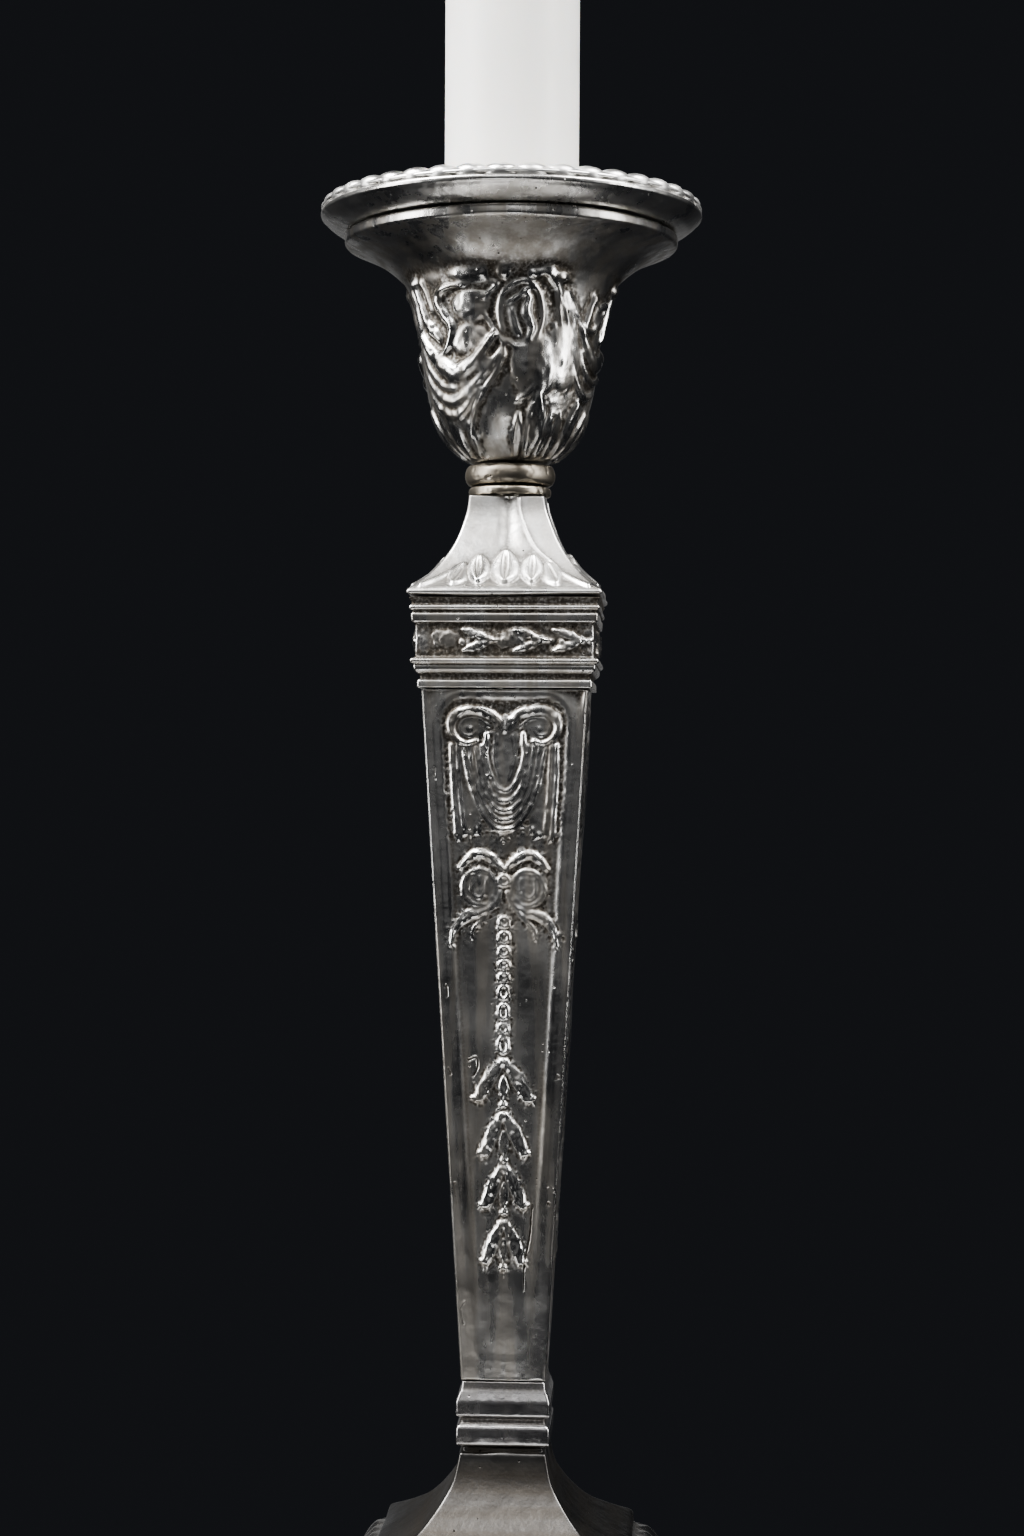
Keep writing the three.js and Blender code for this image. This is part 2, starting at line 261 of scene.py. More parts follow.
# %% Lines, beads, rings, leaves and grain
def line(x, z, points, width, height, parts=7):
    """A raised cord along a smooth curve. Its width may change from one end to the other."""
    path = smooth(points, parts)
    widths = np.interp(np.linspace(0, 1, len(path)), np.linspace(0, 1, np.size(width)), np.atleast_1d(width))
    raised = np.zeros_like(x)
    for (ax, az), (bx, bz), wide in zip(path, path[1:], widths):
        length = (bx - ax) ** 2 + (bz - az) ** 2 + 1e-9
        t = np.clip(((x - ax) * (bx - ax) + (z - az) * (bz - az)) / length, 0, 1)
        away = ((x - ax - t * (bx - ax)) ** 2 + (z - az - t * (bz - az)) ** 2) / wide**2
        raised = np.maximum(raised, height * np.clip(1 - away, 0, 1) ** 0.75)
    return raised


def bead(x, z, at, radii, height):
    """A raised oval dome."""
    away = ((x - at[0]) / radii[0]) ** 2 + ((z - at[1]) / radii[1]) ** 2
    return height * np.sqrt(np.clip(1 - away, 0, 1))


def hoop(x, z, at, radii, width, height):
    """A raised oval ring."""
    angles = np.radians(np.linspace(0, 360, 19))
    points = np.column_stack([at[0] + radii[0] * np.cos(angles), at[1] + radii[1] * np.sin(angles)])
    return line(x, z, points, width, height, parts=2)


def leaf(x, z, base, tip, width, height, veins=2.0, fullest=0.45):
    """A pointed leaf with a sunk middle rib, and veins that run from its base to its edges."""
    along_x, along_z = tip[0] - base[0], tip[1] - base[1]
    length = math.hypot(along_x, along_z)
    t = ((x - base[0]) * along_x + (z - base[1]) * along_z) / length**2
    across = ((x - base[0]) * along_z - (z - base[1]) * along_x) / length
    power = math.log(0.5) / math.log(fullest)
    shape = np.sin(np.pi * np.clip(t, 0.001, 0.999) ** power) ** 0.75
    side = across / (width * shape)
    body = np.clip(1 - side**2, 0, 1) ** 0.6 * np.clip(4 * shape, 0, 1)
    body *= 1 + 0.16 * np.cos(2 * np.pi * veins * np.abs(side)) - 0.45 * np.exp(-((side / 0.13) ** 2))
    return np.where((t > 0) & (t < 1), height * body, 0)


def grain(shape, cells, seed, wrap=False):
    """An uneven surface with lumps of about this many cells, with a standard height of 1."""
    field = blurred(np.random.default_rng(seed).normal(size=shape), cells, wrap)
    return field / field.std()


def tallest(*marks):
    return np.maximum.reduce(marks)


# %% [markdown]
# ## One side of the column
#
# The column tapers downwards, and each of its four plates has a sunk panel with a plain frame. The ornament
# hangs down the middle: curled horns over a ram's mask, drapery gathered below them, a ribbon bow, a string
# of beads, and four bellflowers. Both halves of each motif are nearly alike, so the marks are given for the
# right half and the distance from the middle line is used in place of x. A slow unevenness is then added to
# the places themselves, so that no two halves come out as exact mirror images.

# %% Ram's mask and drapery
def ram_and_drapery(x, z):
    horns = tallest(
        line(x, z, [(0.1, 177), (1.4, 178.6), (3.4, 179.8), (5.9, 180.1), (7.8, 179.2), (8.5, 177.4),
                    (7.8, 175.6), (6.1, 174.7), (4.5, 175.1)], (0.8, 1.05, 1.05, 0.6, 0.4), 0.95),
        line(x, z, [(2.4, 177.4), (4, 178.6), (6, 178.7), (7.1, 177.7), (6.7, 176.3), (5.5, 175.9),
                    (4.7, 176.6)], 0.36, 0.55),
        bead(x, z, (5.6, 177.3), (2.6, 2.2), 0.35),
        bead(x, z, (5.5, 177.1), (0.7, 0.55), 0.6),
        bead(x, z, (0, 177.8), (2.2, 1.5), 0.6),
    )
    mask = tallest(
        line(x, z, [(2.9, 176.2), (3.1, 173.6), (2.7, 171), (2, 169), (1.2, 167.6), (0, 167)],
             (0.4, 0.55, 0.45), 0.75),
        line(x, z, [(1.2, 176), (1.6, 173), (1.1, 170.4), (0.6, 168.6)], (0.35, 0.6, 0.3), 0.5),
        leaf(x, z, (2.6, 175.6), (3.9, 171.6), 0.75, 0.6),
        0.3 * (np.abs(x) < 2.7) * (z > 167.5) * (z < 176.5) * np.clip(1 - (x / 2.7) ** 2, 0, 1),
    )
    folds = [
        line(x, z, [(0, 165.4 - 1.5 * i), (1.4 + 0.1 * i, 165.9 - 1.45 * i), (2.7 + 0.35 * i, 168 - 1.3 * i),
                    (3.3 + 0.7 * i, 171 - 0.9 * i), (3.7 + 0.95 * i, 174.2 - 0.1 * i)],
             (0.58, 0.56, 0.5, 0.42), 0.8)
        for i in range(4)
    ]
    tails = [
        line(x, z, [(top, 174.4), (top - 0.25, 168), (top - 0.9, 160.2 + 0.9 * i)], (0.42, 0.5, 0.55), 0.7)
        for i, top in enumerate((8.4, 7.4))
    ]
    hem = [bead(x, z, (7.3 - 0.95 * i, 159.6 + 0.5 * (i % 2) + 0.3 * i), (0.55, 0.7), 0.5) for i in range(4)]
    cloth = 0.26 * np.clip((x - 3.4) / 0.8, 0, 1) * np.clip((8.5 - x) / 0.5, 0, 1) * (z < 174.6) * (z > 160)
    belly = bead(x, z, (0, 166.8), (4.2, 7.6), 0.34) * (z < 167.5)
    return tallest(horns, mask, *folds, *tails, *hem, cloth, belly)


# %% Bow, beads and bellflowers
def ribbon_bow(x, z):
    return tallest(
        line(x, z, [(0.2, 154.6), (1.6, 156), (3.5, 157), (5.3, 156.5), (6.8, 154.9)],
             (0.6, 0.9, 0.95, 0.5), 0.85),
        hoop(x, z, (3.8, 151.7), (2.5, 2.8), 0.6, 0.6),
        bead(x, z, (3.8, 151.7), (2.8, 3.1), 0.5),
        line(x, z, [(2.7, 153.3), (2.9, 151.2), (3.9, 150.1), (5, 151), (5, 153.2)], (0.4, 0.55, 0.4), 0.72),
        line(x, z, [(3.9, 153.4), (3.9, 151.8)], (0.4, 0.3), 0.65),
        hoop(x, z, (0, 152.9), (0.8, 0.8), 0.45, 0.95),
        bead(x, z, (0, 152.9), (0.5, 0.5), 0.7),
        line(x, z, [(0.5, 151.2), (1.5, 149.2), (3.3, 147.9), (5.3, 147.4), (6.9, 146.4), (7.9, 144.8),
                    (8.5, 142.6)], (0.5, 0.7, 1.0, 1.0, 0.65, 0.2), 0.75),
        line(x, z, [(0.8, 150.4), (2, 148.4), (3.5, 146.5), (4.8, 145.2), (5.1, 143.6)],
             (0.35, 0.45, 0.2), 0.55),
    )


def bead_string(x, z):
    """Cupped beads: each is a ring round a small hollow, with a seed in it."""
    round_beads = [(146.2, 1.05), (143.9, 1.05), (141.7, 1.0), (139.5, 0.95), (137.4, 0.95)]
    long_beads = [(135, 1.3), (132, 1.45), (129.4, 1.0), (126.8, 1.6)]
    marks = []
    for at, tall in round_beads + long_beads:
        marks.append(hoop(x, z, (0, at), (0.72, tall - 0.28), 0.36, 0.78))
        marks.append(bead(x, z, (0, at), (0.4, 0.4), 0.34))
    return tallest(*marks, line(x, z, [(0.95, 147), (0.95, 126)], 0.2, 0.25))


def bellflower(x, z, top, span):
    """Two full side petals hang from a rounded cap, over a slim middle one with a bead below."""
    tip = top - 6.3
    return tallest(
        line(x, z, [(0.5, top - 0.5), (span * 0.45, top - 2.5), (span * 0.72, top - 4.5), (span, tip)],
             (0.8, 1.25, 1.15, 0.55), 0.8),
        line(x, z, [(span * 0.62, top - 5.2), (span * 0.9, tip - 0.1), (span + 0.6, tip + 0.35)],
             (0.5, 0.55, 0.3), 0.9),
        leaf(x, z, (0, top - 2.2), (0, tip - 0.6), 0.85, 0.8, veins=1),
        bead(x, z, (0, top - 0.2), (1.1, 0.9), 0.9),
        bead(x, z, (0, top - 7.2), (0.7, 0.7), 0.75),
    )


def column_ornament(x, z):
    flowers = [(124.2, 4.2), (115.4, 3.4), (107, 3.2), (98, 3.1)]
    hung = [bellflower(x, z, *each) for each in flowers]
    return tallest(ram_and_drapery(x, z), ribbon_bow(x, z), bead_string(x, z), *hung)


# %% [markdown]
# ## Nodes without clutter
#
# Materials and Geometry Nodes are both graphs of nodes. Written out plainly, each node takes many lines, and
# the idea is lost. This helper makes one node, sets or links its inputs, and returns it, so that a graph
# reads like a list of steps.

# %% Add one node to a tree
def node(tree, kind, inputs=None, **settings):
    """Inputs are named or numbered. A socket is linked, and anything else is set as the value."""
    made = tree.nodes.new(kind)
    for key, value in settings.items():
        setattr(made, key, value)
    for key, value in (inputs or {}).items():
        if isinstance(value, bpy.types.NodeSocket):
            tree.links.new(value, made.inputs[key])
        else:
            made.inputs[key].default_value = value
    return made


def new_material(name, **constants):
    """A material with a Principled shader, its constant values set on the shader's own sockets."""
    material = bpy.data.materials.new(name)
    material.use_nodes = True
    tree = material.node_tree
    shader = tree.nodes["Principled BSDF"]
    for key, value in constants.items():
        shader.inputs[key.replace("_", " ").title().replace("Ior", "IOR")].default_value = value
    place = node(tree, "ShaderNodeTexCoord").outputs["Object"]
    return material, tree, shader, place


def mottle(tree, place, size, detail=4.0, stretch=(1, 1, 1)):
    """Soft noise from 0 to 1 whose lumps are about this many millimetres across."""
    scaled = node(tree, "ShaderNodeMapping", {"Vector": place, "Scale": stretch}).outputs["Vector"]
    noise = node(tree, "ShaderNodeTexNoise", {"Vector": scaled, "Scale": 1 / (size * MM), "Detail": detail})
    return noise.outputs["Fac"]


def remap(tree, value, low, high, to_low=0.0, to_high=1.0):
    """The value spread from one range to another, and held at its ends."""
    spread = {"Value": value, "From Min": low, "From Max": high, "To Min": to_low, "To Max": to_high}
    return node(tree, "ShaderNodeMapRange", spread, interpolation_type="SMOOTHSTEP").outputs["Result"]


def sums(tree, kind, a, b):
    return node(tree, "ShaderNodeMath", {0: a, 1: b}, operation=kind).outputs["Value"]


def blend_colours(tree, share, first, second):
    mixed = node(tree, "ShaderNodeMix", {"Factor": share, "A": first, "B": second}, data_type="RGBA")
    return mixed.outputs["Result"]


def raise_surface(tree, shader, height, strength, depth):
    """Small unevenness that only the light sees, this many millimetres deep."""
    bump = node(tree, "ShaderNodeBump", {"Height": height, "Strength": strength, "Distance": depth * MM})
    tree.links.new(bump.outputs["Normal"], shader.inputs["Normal"])


# %% [markdown]
# ## Old silver plate
#
# This silver has been polished for generations and then left to tone. Its raised parts are smooth and
# bright, the ground between them is brown-black and dull, long polishing lines run up the shaft, and the
# casting shows small pits. One recipe makes all the silver. Only its tone, its polish and the amount of
# tarnish differ from piece to piece.

# %% The silver recipe
TARNISH_AND_PAINTED_SHADE = (0.05, 0.041, 0.031, 1)
PIT_BOTTOM = (0.02, 0.017, 0.014, 1)


def silver(name, tone, gloss, tarnish, pitting, streaks, stretch=(1, 1, 0.05)):
    """Gloss is the shader's roughness, and the next three run from 0 for none to 1 for a great deal. Tarnish
    also scales painted shade.
    """
    material, tree, shader, place = new_material(name, metallic=1.0)
    recess = node(tree, "ShaderNodeAttribute", attribute_name="recess").outputs["Fac"]
    smudge = mottle(tree, place, 12)
    cloud = mottle(tree, place, 3.2, 5)
    dust = mottle(tree, place, 0.45, 5)
    streak = remap(tree, mottle(tree, place, 2.2, 4, stretch), 0.4, 0.62)

    # The recess attribute brings tarnish in the hollows and, on some pieces, painted shade; both darken the
    # colour and dull the gloss here.
    deep = remap(tree, recess, -0.05, 0.17)
    grime_and_painted_shade = sums(tree, "MULTIPLY", deep, remap(tree, dust, 0.25, 0.6, 0.6, 1))
    stain = sums(tree, "MULTIPLY", remap(tree, cloud, 0.46, 0.72), 0.22 * tarnish)
    dirt_and_painted_shade = sums(tree, "MAXIMUM", sums(tree, "MULTIPLY", grime_and_painted_shade, tarnish), stain)

    cells = node(tree, "ShaderNodeTexVoronoi", {"Vector": place, "Scale": 1 / (0.9 * MM)})
    chosen = node(tree, "ShaderNodeSeparateColor", {"Color": cells.outputs["Color"]}).outputs["Red"]
    rare = sums(tree, "GREATER_THAN", chosen, 1 - 0.22 * pitting)
    patch = remap(tree, mottle(tree, place, 9, 2), 0.48, 0.6)
    hole = remap(tree, cells.outputs["Distance"], 0.1, 0.24, 1, 0)
    pit = sums(tree, "MULTIPLY", sums(tree, "MULTIPLY", rare, patch), hole)

    warm = [tone[0] * 0.62, tone[1] * 0.585, tone[2] * 0.54]
    bright = blend_colours(tree, smudge, (*[c * 0.88 for c in tone], 1), (*tone, 1))
    streaked = blend_colours(tree, sums(tree, "MULTIPLY", streak, streaks), bright, (*warm, 1))
    toned = blend_colours(tree, dirt_and_painted_shade, streaked, TARNISH_AND_PAINTED_SHADE)
    tree.links.new(blend_colours(tree, pit, toned, PIT_BOTTOM), shader.inputs["Base Color"])

    polish = remap(tree, smudge, 0.3, 0.7, gloss * 0.8, gloss * 1.35)
    dull = sums(tree, "ADD", polish, sums(tree, "MULTIPLY", streak, 0.12 * streaks))
    dull = sums(tree, "ADD", dull, sums(tree, "MULTIPLY", dirt_and_painted_shade, 0.3))
    tree.links.new(sums(tree, "ADD", dull, sums(tree, "MULTIPLY", pit, 0.4)), shader.inputs["Roughness"])

    hair = mottle(tree, place, 0.3, 3, stretch)
    dents = sums(tree, "MULTIPLY", mottle(tree, place, 2.6, 2), 1.4)
    rough = sums(tree, "MULTIPLY", dust, remap(tree, recess, -0.05, 0.2, 0.1, 0.4))
    brushed = sums(tree, "MULTIPLY", hair, 0.16 * streaks)
    surface = sums(tree, "ADD", brushed, sums(tree, "ADD", dents, rough))
    dented = sums(tree, "SUBTRACT", surface, sums(tree, "MULTIPLY", pit, 1.2))
    raise_surface(tree, shader, dented, 0.7, 0.12)
    return material


chased_silver = silver("chased_silver", (0.7, 0.69, 0.67), 0.215, 0.95, pitting=0.7, streaks=0.8)
plain_silver = silver("plain_silver", (0.72, 0.71, 0.69), 0.22, 0.65, pitting=0.35, streaks=0.3)
soft_silver = silver("soft_silver", (0.76, 0.75, 0.73), 0.28, 0.75, pitting=0.5, streaks=0.35)
# Painted shade: a very dark copy of the silver, for the neck of the foot.
shaded_brushed_silver = silver("shaded_brushed_silver", (0.12, 0.118, 0.116), 0.25, 0.7, pitting=0.3, streaks=0.6,
                        stretch=(0.05, 0.05, 1))
# Painted shade: a darker copy of the silver, for the collar.
shaded_cool_silver = silver("shaded_cool_silver", (0.52, 0.51, 0.51), 0.17, 0.8, pitting=0.3, streaks=0.3)
# Partly painted light: a brighter copy of the silver for the pan's lobed border, polished nearly free of
# tarnish.
lit_polished_silver = silver("lit_polished_silver", (0.9, 0.89, 0.87), 0.3, 0.12, pitting=0.2, streaks=0.1)
worn_silver = silver("worn_silver", (0.42, 0.38, 0.32), 0.3, 0.95, pitting=1.0, streaks=0.3)
inner_silver = silver("inner_silver", (0.6, 0.58, 0.54), 0.34, 0.6, pitting=0.6, streaks=0.4)
print("silver finishes:", chased_silver.name, plain_silver.name, worn_silver.name, inner_silver.name)

# %% Hand a finished piece over to the frame
def stand_in(thing, material, body, slot, *nodes):
    """The piece takes its finish, rides on its body, and stands for these pieces of the frame."""
    thing.data.materials.clear()
    thing.data.materials.append(material)
    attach(thing, body)
    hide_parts(*nodes)
    thing.data.calc_loop_triangles()
    print(f"{thing.name}: {len(thing.data.loop_triangles)} triangles for {', '.join(nodes)}")


# %% [markdown]
# ## The column plates
#
# Every plate is one fine grid on its outside and a flat back, closed by its mitred edges. The sunk panel has
# rounded corners and a hollow edge that is wider at the top. Round the ornament the ground is stippled with
# a fine punch, which is what makes old chasing look dark. The outer edges curl a little way round the arris,
# so that two plates meet on the mitre.

# %% Sunk panel
WALL = 1.2
_, SHAFT_BOTTOM, SHAFT_TOP = extent("column_plate_front")
SHAFT_HEAD = -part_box("column_plate_front")[0].y / MM
SHAFT_FOOT = SHAFT_HEAD - 6.4
FRAME_WIDTH, PANEL_TOP, PANEL_BOTTOM = 2.3, SHAFT_TOP - 0.9, SHAFT_BOTTOM + 3.1


def panel(x, z, half):
    """How far inside the panel's rounded border each place lies, in millimetres."""
    side = half - FRAME_WIDTH - np.abs(x)
    level = np.minimum(PANEL_TOP - z, z - PANEL_BOTTOM)
    corner = np.where(z > (PANEL_TOP + PANEL_BOTTOM) / 2, 4.6, 2.4)
    cut = corner - np.hypot(np.maximum(corner - side, 0), np.maximum(corner - level, 0))
    return np.where((side < corner) & (level < corner), cut, np.minimum(side, level))


def ease(value):
    value = np.clip(value, 0, 1)
    return value * value * (3 - 2 * value)


# %% Relief of one plate
PLATE_STEP = 0.2
plate_rows = int((SHAFT_TOP - SHAFT_BOTTOM) / PLATE_STEP)
plate_columns = int(2 * SHAFT_HEAD / PLATE_STEP)
plate_z = np.linspace(SHAFT_BOTTOM, SHAFT_TOP, plate_rows)[:, None] + np.zeros((1, plate_columns))
plate_half = SHAFT_FOOT + (SHAFT_HEAD - SHAFT_FOOT) * (plate_z - SHAFT_BOTTOM) / (SHAFT_TOP - SHAFT_BOTTOM)
plate_across = np.linspace(-1, 1, plate_columns)[None, :] + 0 * plate_z
plate_x = plate_across * plate_half


def scars(seed):
    """A few short cuts and one long hooked one, as old plate collects them."""
    chance = np.random.default_rng(seed)
    cuts = [line(plate_x, plate_z, [(-5.6, 124.2), (-4.4, 124.6), (-4.2, 123), (-4.9, 121.6)], 0.2, 0.3),
            line(plate_x, plate_z, [(4.6, 101), (4.2, 96), (3.4, 91.5), (3.2, 87)], (0.12, 0.24, 0.1), 0.28)]
    for _ in range(9):
        level = chance.uniform(78, 172)
        start = np.array([chance.choice([-1, 1]) * (SHAFT_FOOT - 1 + 0.055 * (level - SHAFT_BOTTOM)), level])
        bend, end = start + chance.uniform(-0.5, 0.5, 2), start + chance.uniform(-1, 1, 2) * (0.5, 2.5)
        depth = chance.uniform(0.12, 0.3)
        cuts.append(line(plate_x, plate_z, [start, bend, end], (0.18, 0.1), depth, parts=3))
    return tallest(*cuts)


def plate_relief(seed):
    """The height of the metal, the ornament alone, and how much darker than its relief each place is, from
    painted shade and wear.
    """
    shape = plate_x.shape
    inside = panel(plate_x, plate_z, plate_half)
    upper = np.exp(-(((PANEL_TOP - plate_z) / 5) ** 2))
    hollow_edge = 1.3 + 0.5 * upper
    sunk = -(0.42 + 0.16 * upper) * ease(inside / hollow_edge) * (0.3 + 0.7 * ease((plate_z - 78) / 34))
    rim = 0.09 * np.exp(-(((inside + 0.45) / 0.4) ** 2)) * ease((plate_z - 76) / 20)
    wander = [0.13 * grain(shape, 14, seed + i) for i in (0, 1)]
    marks = column_ornament(np.abs(plate_x + wander[0]), plate_z + wander[1])
    marks = 0.74 * blurred(marks * (0.92 + 0.1 * grain(shape, 1.3, seed + 4)), 0.85)
    near = np.clip(blurred((marks > 0.05).astype(float), 3.5) * 2.2, 0, 1) * (marks < 0.12)
    stipple = 0.08 * near * grain(shape, 0.9, seed + 2)
    uneven = 0.05 * grain(shape, 20, seed + 3) * ease((plate_half - np.abs(plate_x)) / 1.5)
    relief = sunk + rim + marks + stipple + uneven - scars(seed)
    ends = ease(np.minimum(plate_z - SHAFT_BOTTOM, SHAFT_TOP - plate_z) / 0.3)
    # Painted shade: darker along the inside of the panel's edge, most of all under its top. The foot of the
    # shaft is kept cleaner, and the arrises worn.
    border = np.exp(-(((inside - 1.2) / 0.9) ** 2)) * (0.02 + 0.1 * upper)
    painted_shade_and_wear = border - 0.05 * (1 - ease((plate_z - SHAFT_BOTTOM) / 30))
    worn = 0.06 * np.exp(-(((1 - np.abs(plate_across)) * plate_half / 0.4) ** 2))
    return relief * ends, marks, painted_shade_and_wear - worn


# %% Build the four plates
def plate_mesh(name, quarter, relief, painted_shade_and_wear):
    half = plate_half + relief * ease((1 - np.abs(plate_across)) * plate_half / 0.8)
    arris = 0.5
    flat = np.clip(half * (1 - np.abs(plate_across)) / arris, 0, 1)
    turn = (1 - flat) * np.pi / 4
    x = np.where(flat < 1, np.sign(plate_across) * (half - arris + arris * np.sin(turn)), plate_x)
    y = np.where(flat < 1, -(half - arris + arris * np.cos(turn)), -half)
    back = [(sign * (h - WALL), -(h - WALL), z)
            for h, z, signs in ((SHAFT_FOOT, SHAFT_BOTTOM, (-1, 1)), (SHAFT_HEAD, SHAFT_TOP, (1, -1)))
            for sign in signs]
    points = np.vstack([np.column_stack([x.ravel(), y.ravel(), plate_z.ravel()]), back])
    cosine, sine = round(math.cos(quarter)), round(math.sin(quarter))
    points = points @ np.array([[cosine, sine, 0], [-sine, cosine, 0], [0, 0, 1]])

    rows, columns = plate_x.shape
    number = np.arange(rows * columns).reshape(rows, columns)
    front = np.stack([number[:-1, :-1], number[:-1, 1:], number[1:, 1:], number[1:, :-1]], -1)
    front = front.reshape(-1, 4)
    first, second, third, fourth = (rows * columns + i for i in range(4))
    faces = front.tolist() + [
        [fourth, third, second, first],
        [first, second, *number[0, ::-1].tolist()],
        [*number[-1].tolist(), third, fourth],
        [second, third, *number[::-1, -1].tolist()],
        [*number[:, 0].tolist(), fourth, first],
    ]
    recess = np.append((recess_of(relief) + painted_shade_and_wear).ravel(), [0.1] * 4)
    thing = new_mesh(name, points, faces, recess)
    thing.data.polygons[len(front)].use_smooth = False
    return thing


for side, name in enumerate(("front", "right", "back", "left")):
    relief, marks, painted_shade_and_wear = plate_relief(seed=20 + 10 * side)
    plate = plate_mesh(f"column_{name}", side * math.pi / 2, relief, painted_shade_and_wear)
    stand_in(plate, chased_silver, "stick", "silver_plate", f"column_plate_{name}")
print("ornament stands", round(float(marks.max()), 2), "mm proud of its ground")

# %% [markdown]
# ## Frieze, shoulder, collar and foot: square mouldings
#
# The other square pieces are swept outlines with relief on each of their four sides. One function does the
# common work: it lays out the rows and columns, asks the piece's own function for its relief, adds the slow
# unevenness of hand buffing, and makes the mesh. The relief fades out at the arrises, so that the mitres
# stay crisp.

# %% One square moulding
def creases_of(outer, cells=5):
    """How far each row of an outline lies inside the average of the rows around it, in millimetres."""
    around = np.column_stack([blurred(outer[:, i : i + 1], cells)[:, 0] for i in (0, 1)])
    lengths = np.einsum("ij,ij->i", around - outer, outward(outer))
    lengths[:cells], lengths[-cells:] = lengths[cells], lengths[-cells - 1]
    return lengths[:, None]


def square_moulding(name, outer, inner, relief=None, step=STEP, uneven=0.03, seed=1, arris=0.45, grime_and_painted_shade=0):
    """Grime and painted shade darken the whole piece, or single rows of it, but not its arrises."""
    columns = int(2 * outer[:, 0].max() / step)
    across = np.tile(np.linspace(-1, 1, columns, endpoint=False), 4)[None, :] + 0 * outer[:, :1]
    x, z = across * outer[:, :1], outer[:, 1:] + 0 * across
    fade = ease((1 - np.abs(across)) * outer[:, :1] / 0.8) * ease(np.minimum(z - z[0], z[-1] - z) / 0.4)
    marks = np.zeros_like(x) if relief is None else blurred(relief(x, z), 0.55, wrap=True) * fade
    marks = marks + uneven * grain(x.shape, 4.5 / step, seed, wrap=True)
    grid = sweep(square_ring(columns, arris), 4 * columns, outer, inner, marks)
    edge = np.exp(-(((1 - np.abs(across)) * outer[:, :1] / 0.5) ** 2))
    tarnish_and_painted_shade = recess_of(marks, wrap=True) + 1.4 * creases_of(outer) + grime_and_painted_shade * (1 - edge) - 0.05 * edge
    return ring_mesh(name, grid, tarnish_and_painted_shade)


# %% [markdown]
# The frieze block sits on the shaft like the capital of a pilaster. From the bottom it has a flat band, a
# groove, a soft cove and a bead, then the frieze itself with a running spray of laurel and a small rosette,
# and above it a fascia, another bead and the cove that carries the shoulder.

# %% Frieze block
half, bottom, top = extent("frieze_block")
FRIEZE = half - 1.05
frieze_outline = outline(
    inset(FRIEZE, bottom, (0.3, 0), (0.3, 1.15), (0.75, 1.35), (0.75, 1.95), (0.35, 2.2), (-0.2, 2.7),
          (-0.3, 3.4), (-0.15, 3.6), (-0.75, 3.85), (-0.85, 4.2), (-0.7, 4.55), (0, 4.8), (0, 10.1),
          (-0.55, 10.3), (-0.7, 11.6), (-0.35, 11.8), (-0.45, 12.1), (-0.95, 12.35), (-0.95, 12.8),
          (-0.45, 13.1), (-0.6, 13.6)),
    [(half - 0.1, top)],
    ease=0.14,
)
frieze_inside = [(FRIEZE - 1.8, top), (FRIEZE - 1.8, bottom)]


def laurel(x, z):
    """A running spray: pairs of leaves that open to the left, a rosette, and stippling beyond."""
    middle = bottom + 7.4
    marks = [bead(x, z, (0, middle), (0.7, 0.7), 0.6), bead(x, z, (0, middle), (1.5, 1.4), 0.3)]
    for start in (-2.6, 5.4, 11.5):
        for up in (-1, 1):
            tip = (start - 4.2, middle + up * 1.8)
            marks.append(leaf(x, z, (start + 0.6, middle + up * 0.1), tip, 0.8, 0.6, veins=1))
            tip = (start - 2.4, middle + up * 0.7)
            marks.append(leaf(x, z, (start + 1.4, middle), tip, 0.55, 0.55, veins=1))
        marks.append(line(x, z, [(start - 1, middle), (start + 2.4, middle)], 0.28, 0.4))
    marks += [bead(x, z, (at, middle + 0.4), (2.2, 1.5), 0.3) for at in (-9.4, 1.8)]
    marks += [bead(x, z, (at, middle - 0.3), (0.5, 0.6), 0.4) for at in (9, -6.6, 2.9)]
    field = ease((z - bottom - 5) / 0.4) * ease((bottom + 9.9 - z) / 0.4)
    stipple = 0.06 * grain(x.shape, 0.9, 51, wrap=True)
    return (tallest(*marks) + stipple) * field


# The fascia band is darkened more than the rest of the frieze.
level = frieze_outline[:, 1:]
in_fascia = ease((level - bottom - 10) / 0.4) * ease((top - 0.2 - level) / 0.4)
frieze = square_moulding("frieze", frieze_outline, frieze_inside, laurel, step=0.2, uneven=0.035, seed=31,
                         grime_and_painted_shade=0.04 + 0.12 * in_fascia)
stand_in(frieze, chased_silver, "stick", "silver_plate", "frieze_block")

# %% [markdown]
# The shoulder sweeps up from the frieze to the thin neck. A lotus bud with three petals grows from the foot
# of each side, two long leaves run out to the corners, and a shallow flute climbs the middle.

# %% Shoulder
half, bottom, top = extent("shoulder")
flare = [(15.2, 1.2), (13.3, 2.6), (11.2, 4.6), (9.4, 7), (8, 9.6), (7, 12.2), (6.3, 14.3), (5.9, 16.5)]
shoulder_outline = outline(
    inset(half, bottom, (0.6, 0), (0.05, 0.25), (0, 0.7), (0.25, 1.05)),
    smooth(lifted(bottom, *flare)),
    [(5.9, top)],
    ease=0.12,
)
shoulder_inside = [(5, top - WALL), (7, top - 6), (10, bottom + 4), *inset(half, bottom, (3, 0.4), (3, 0))]


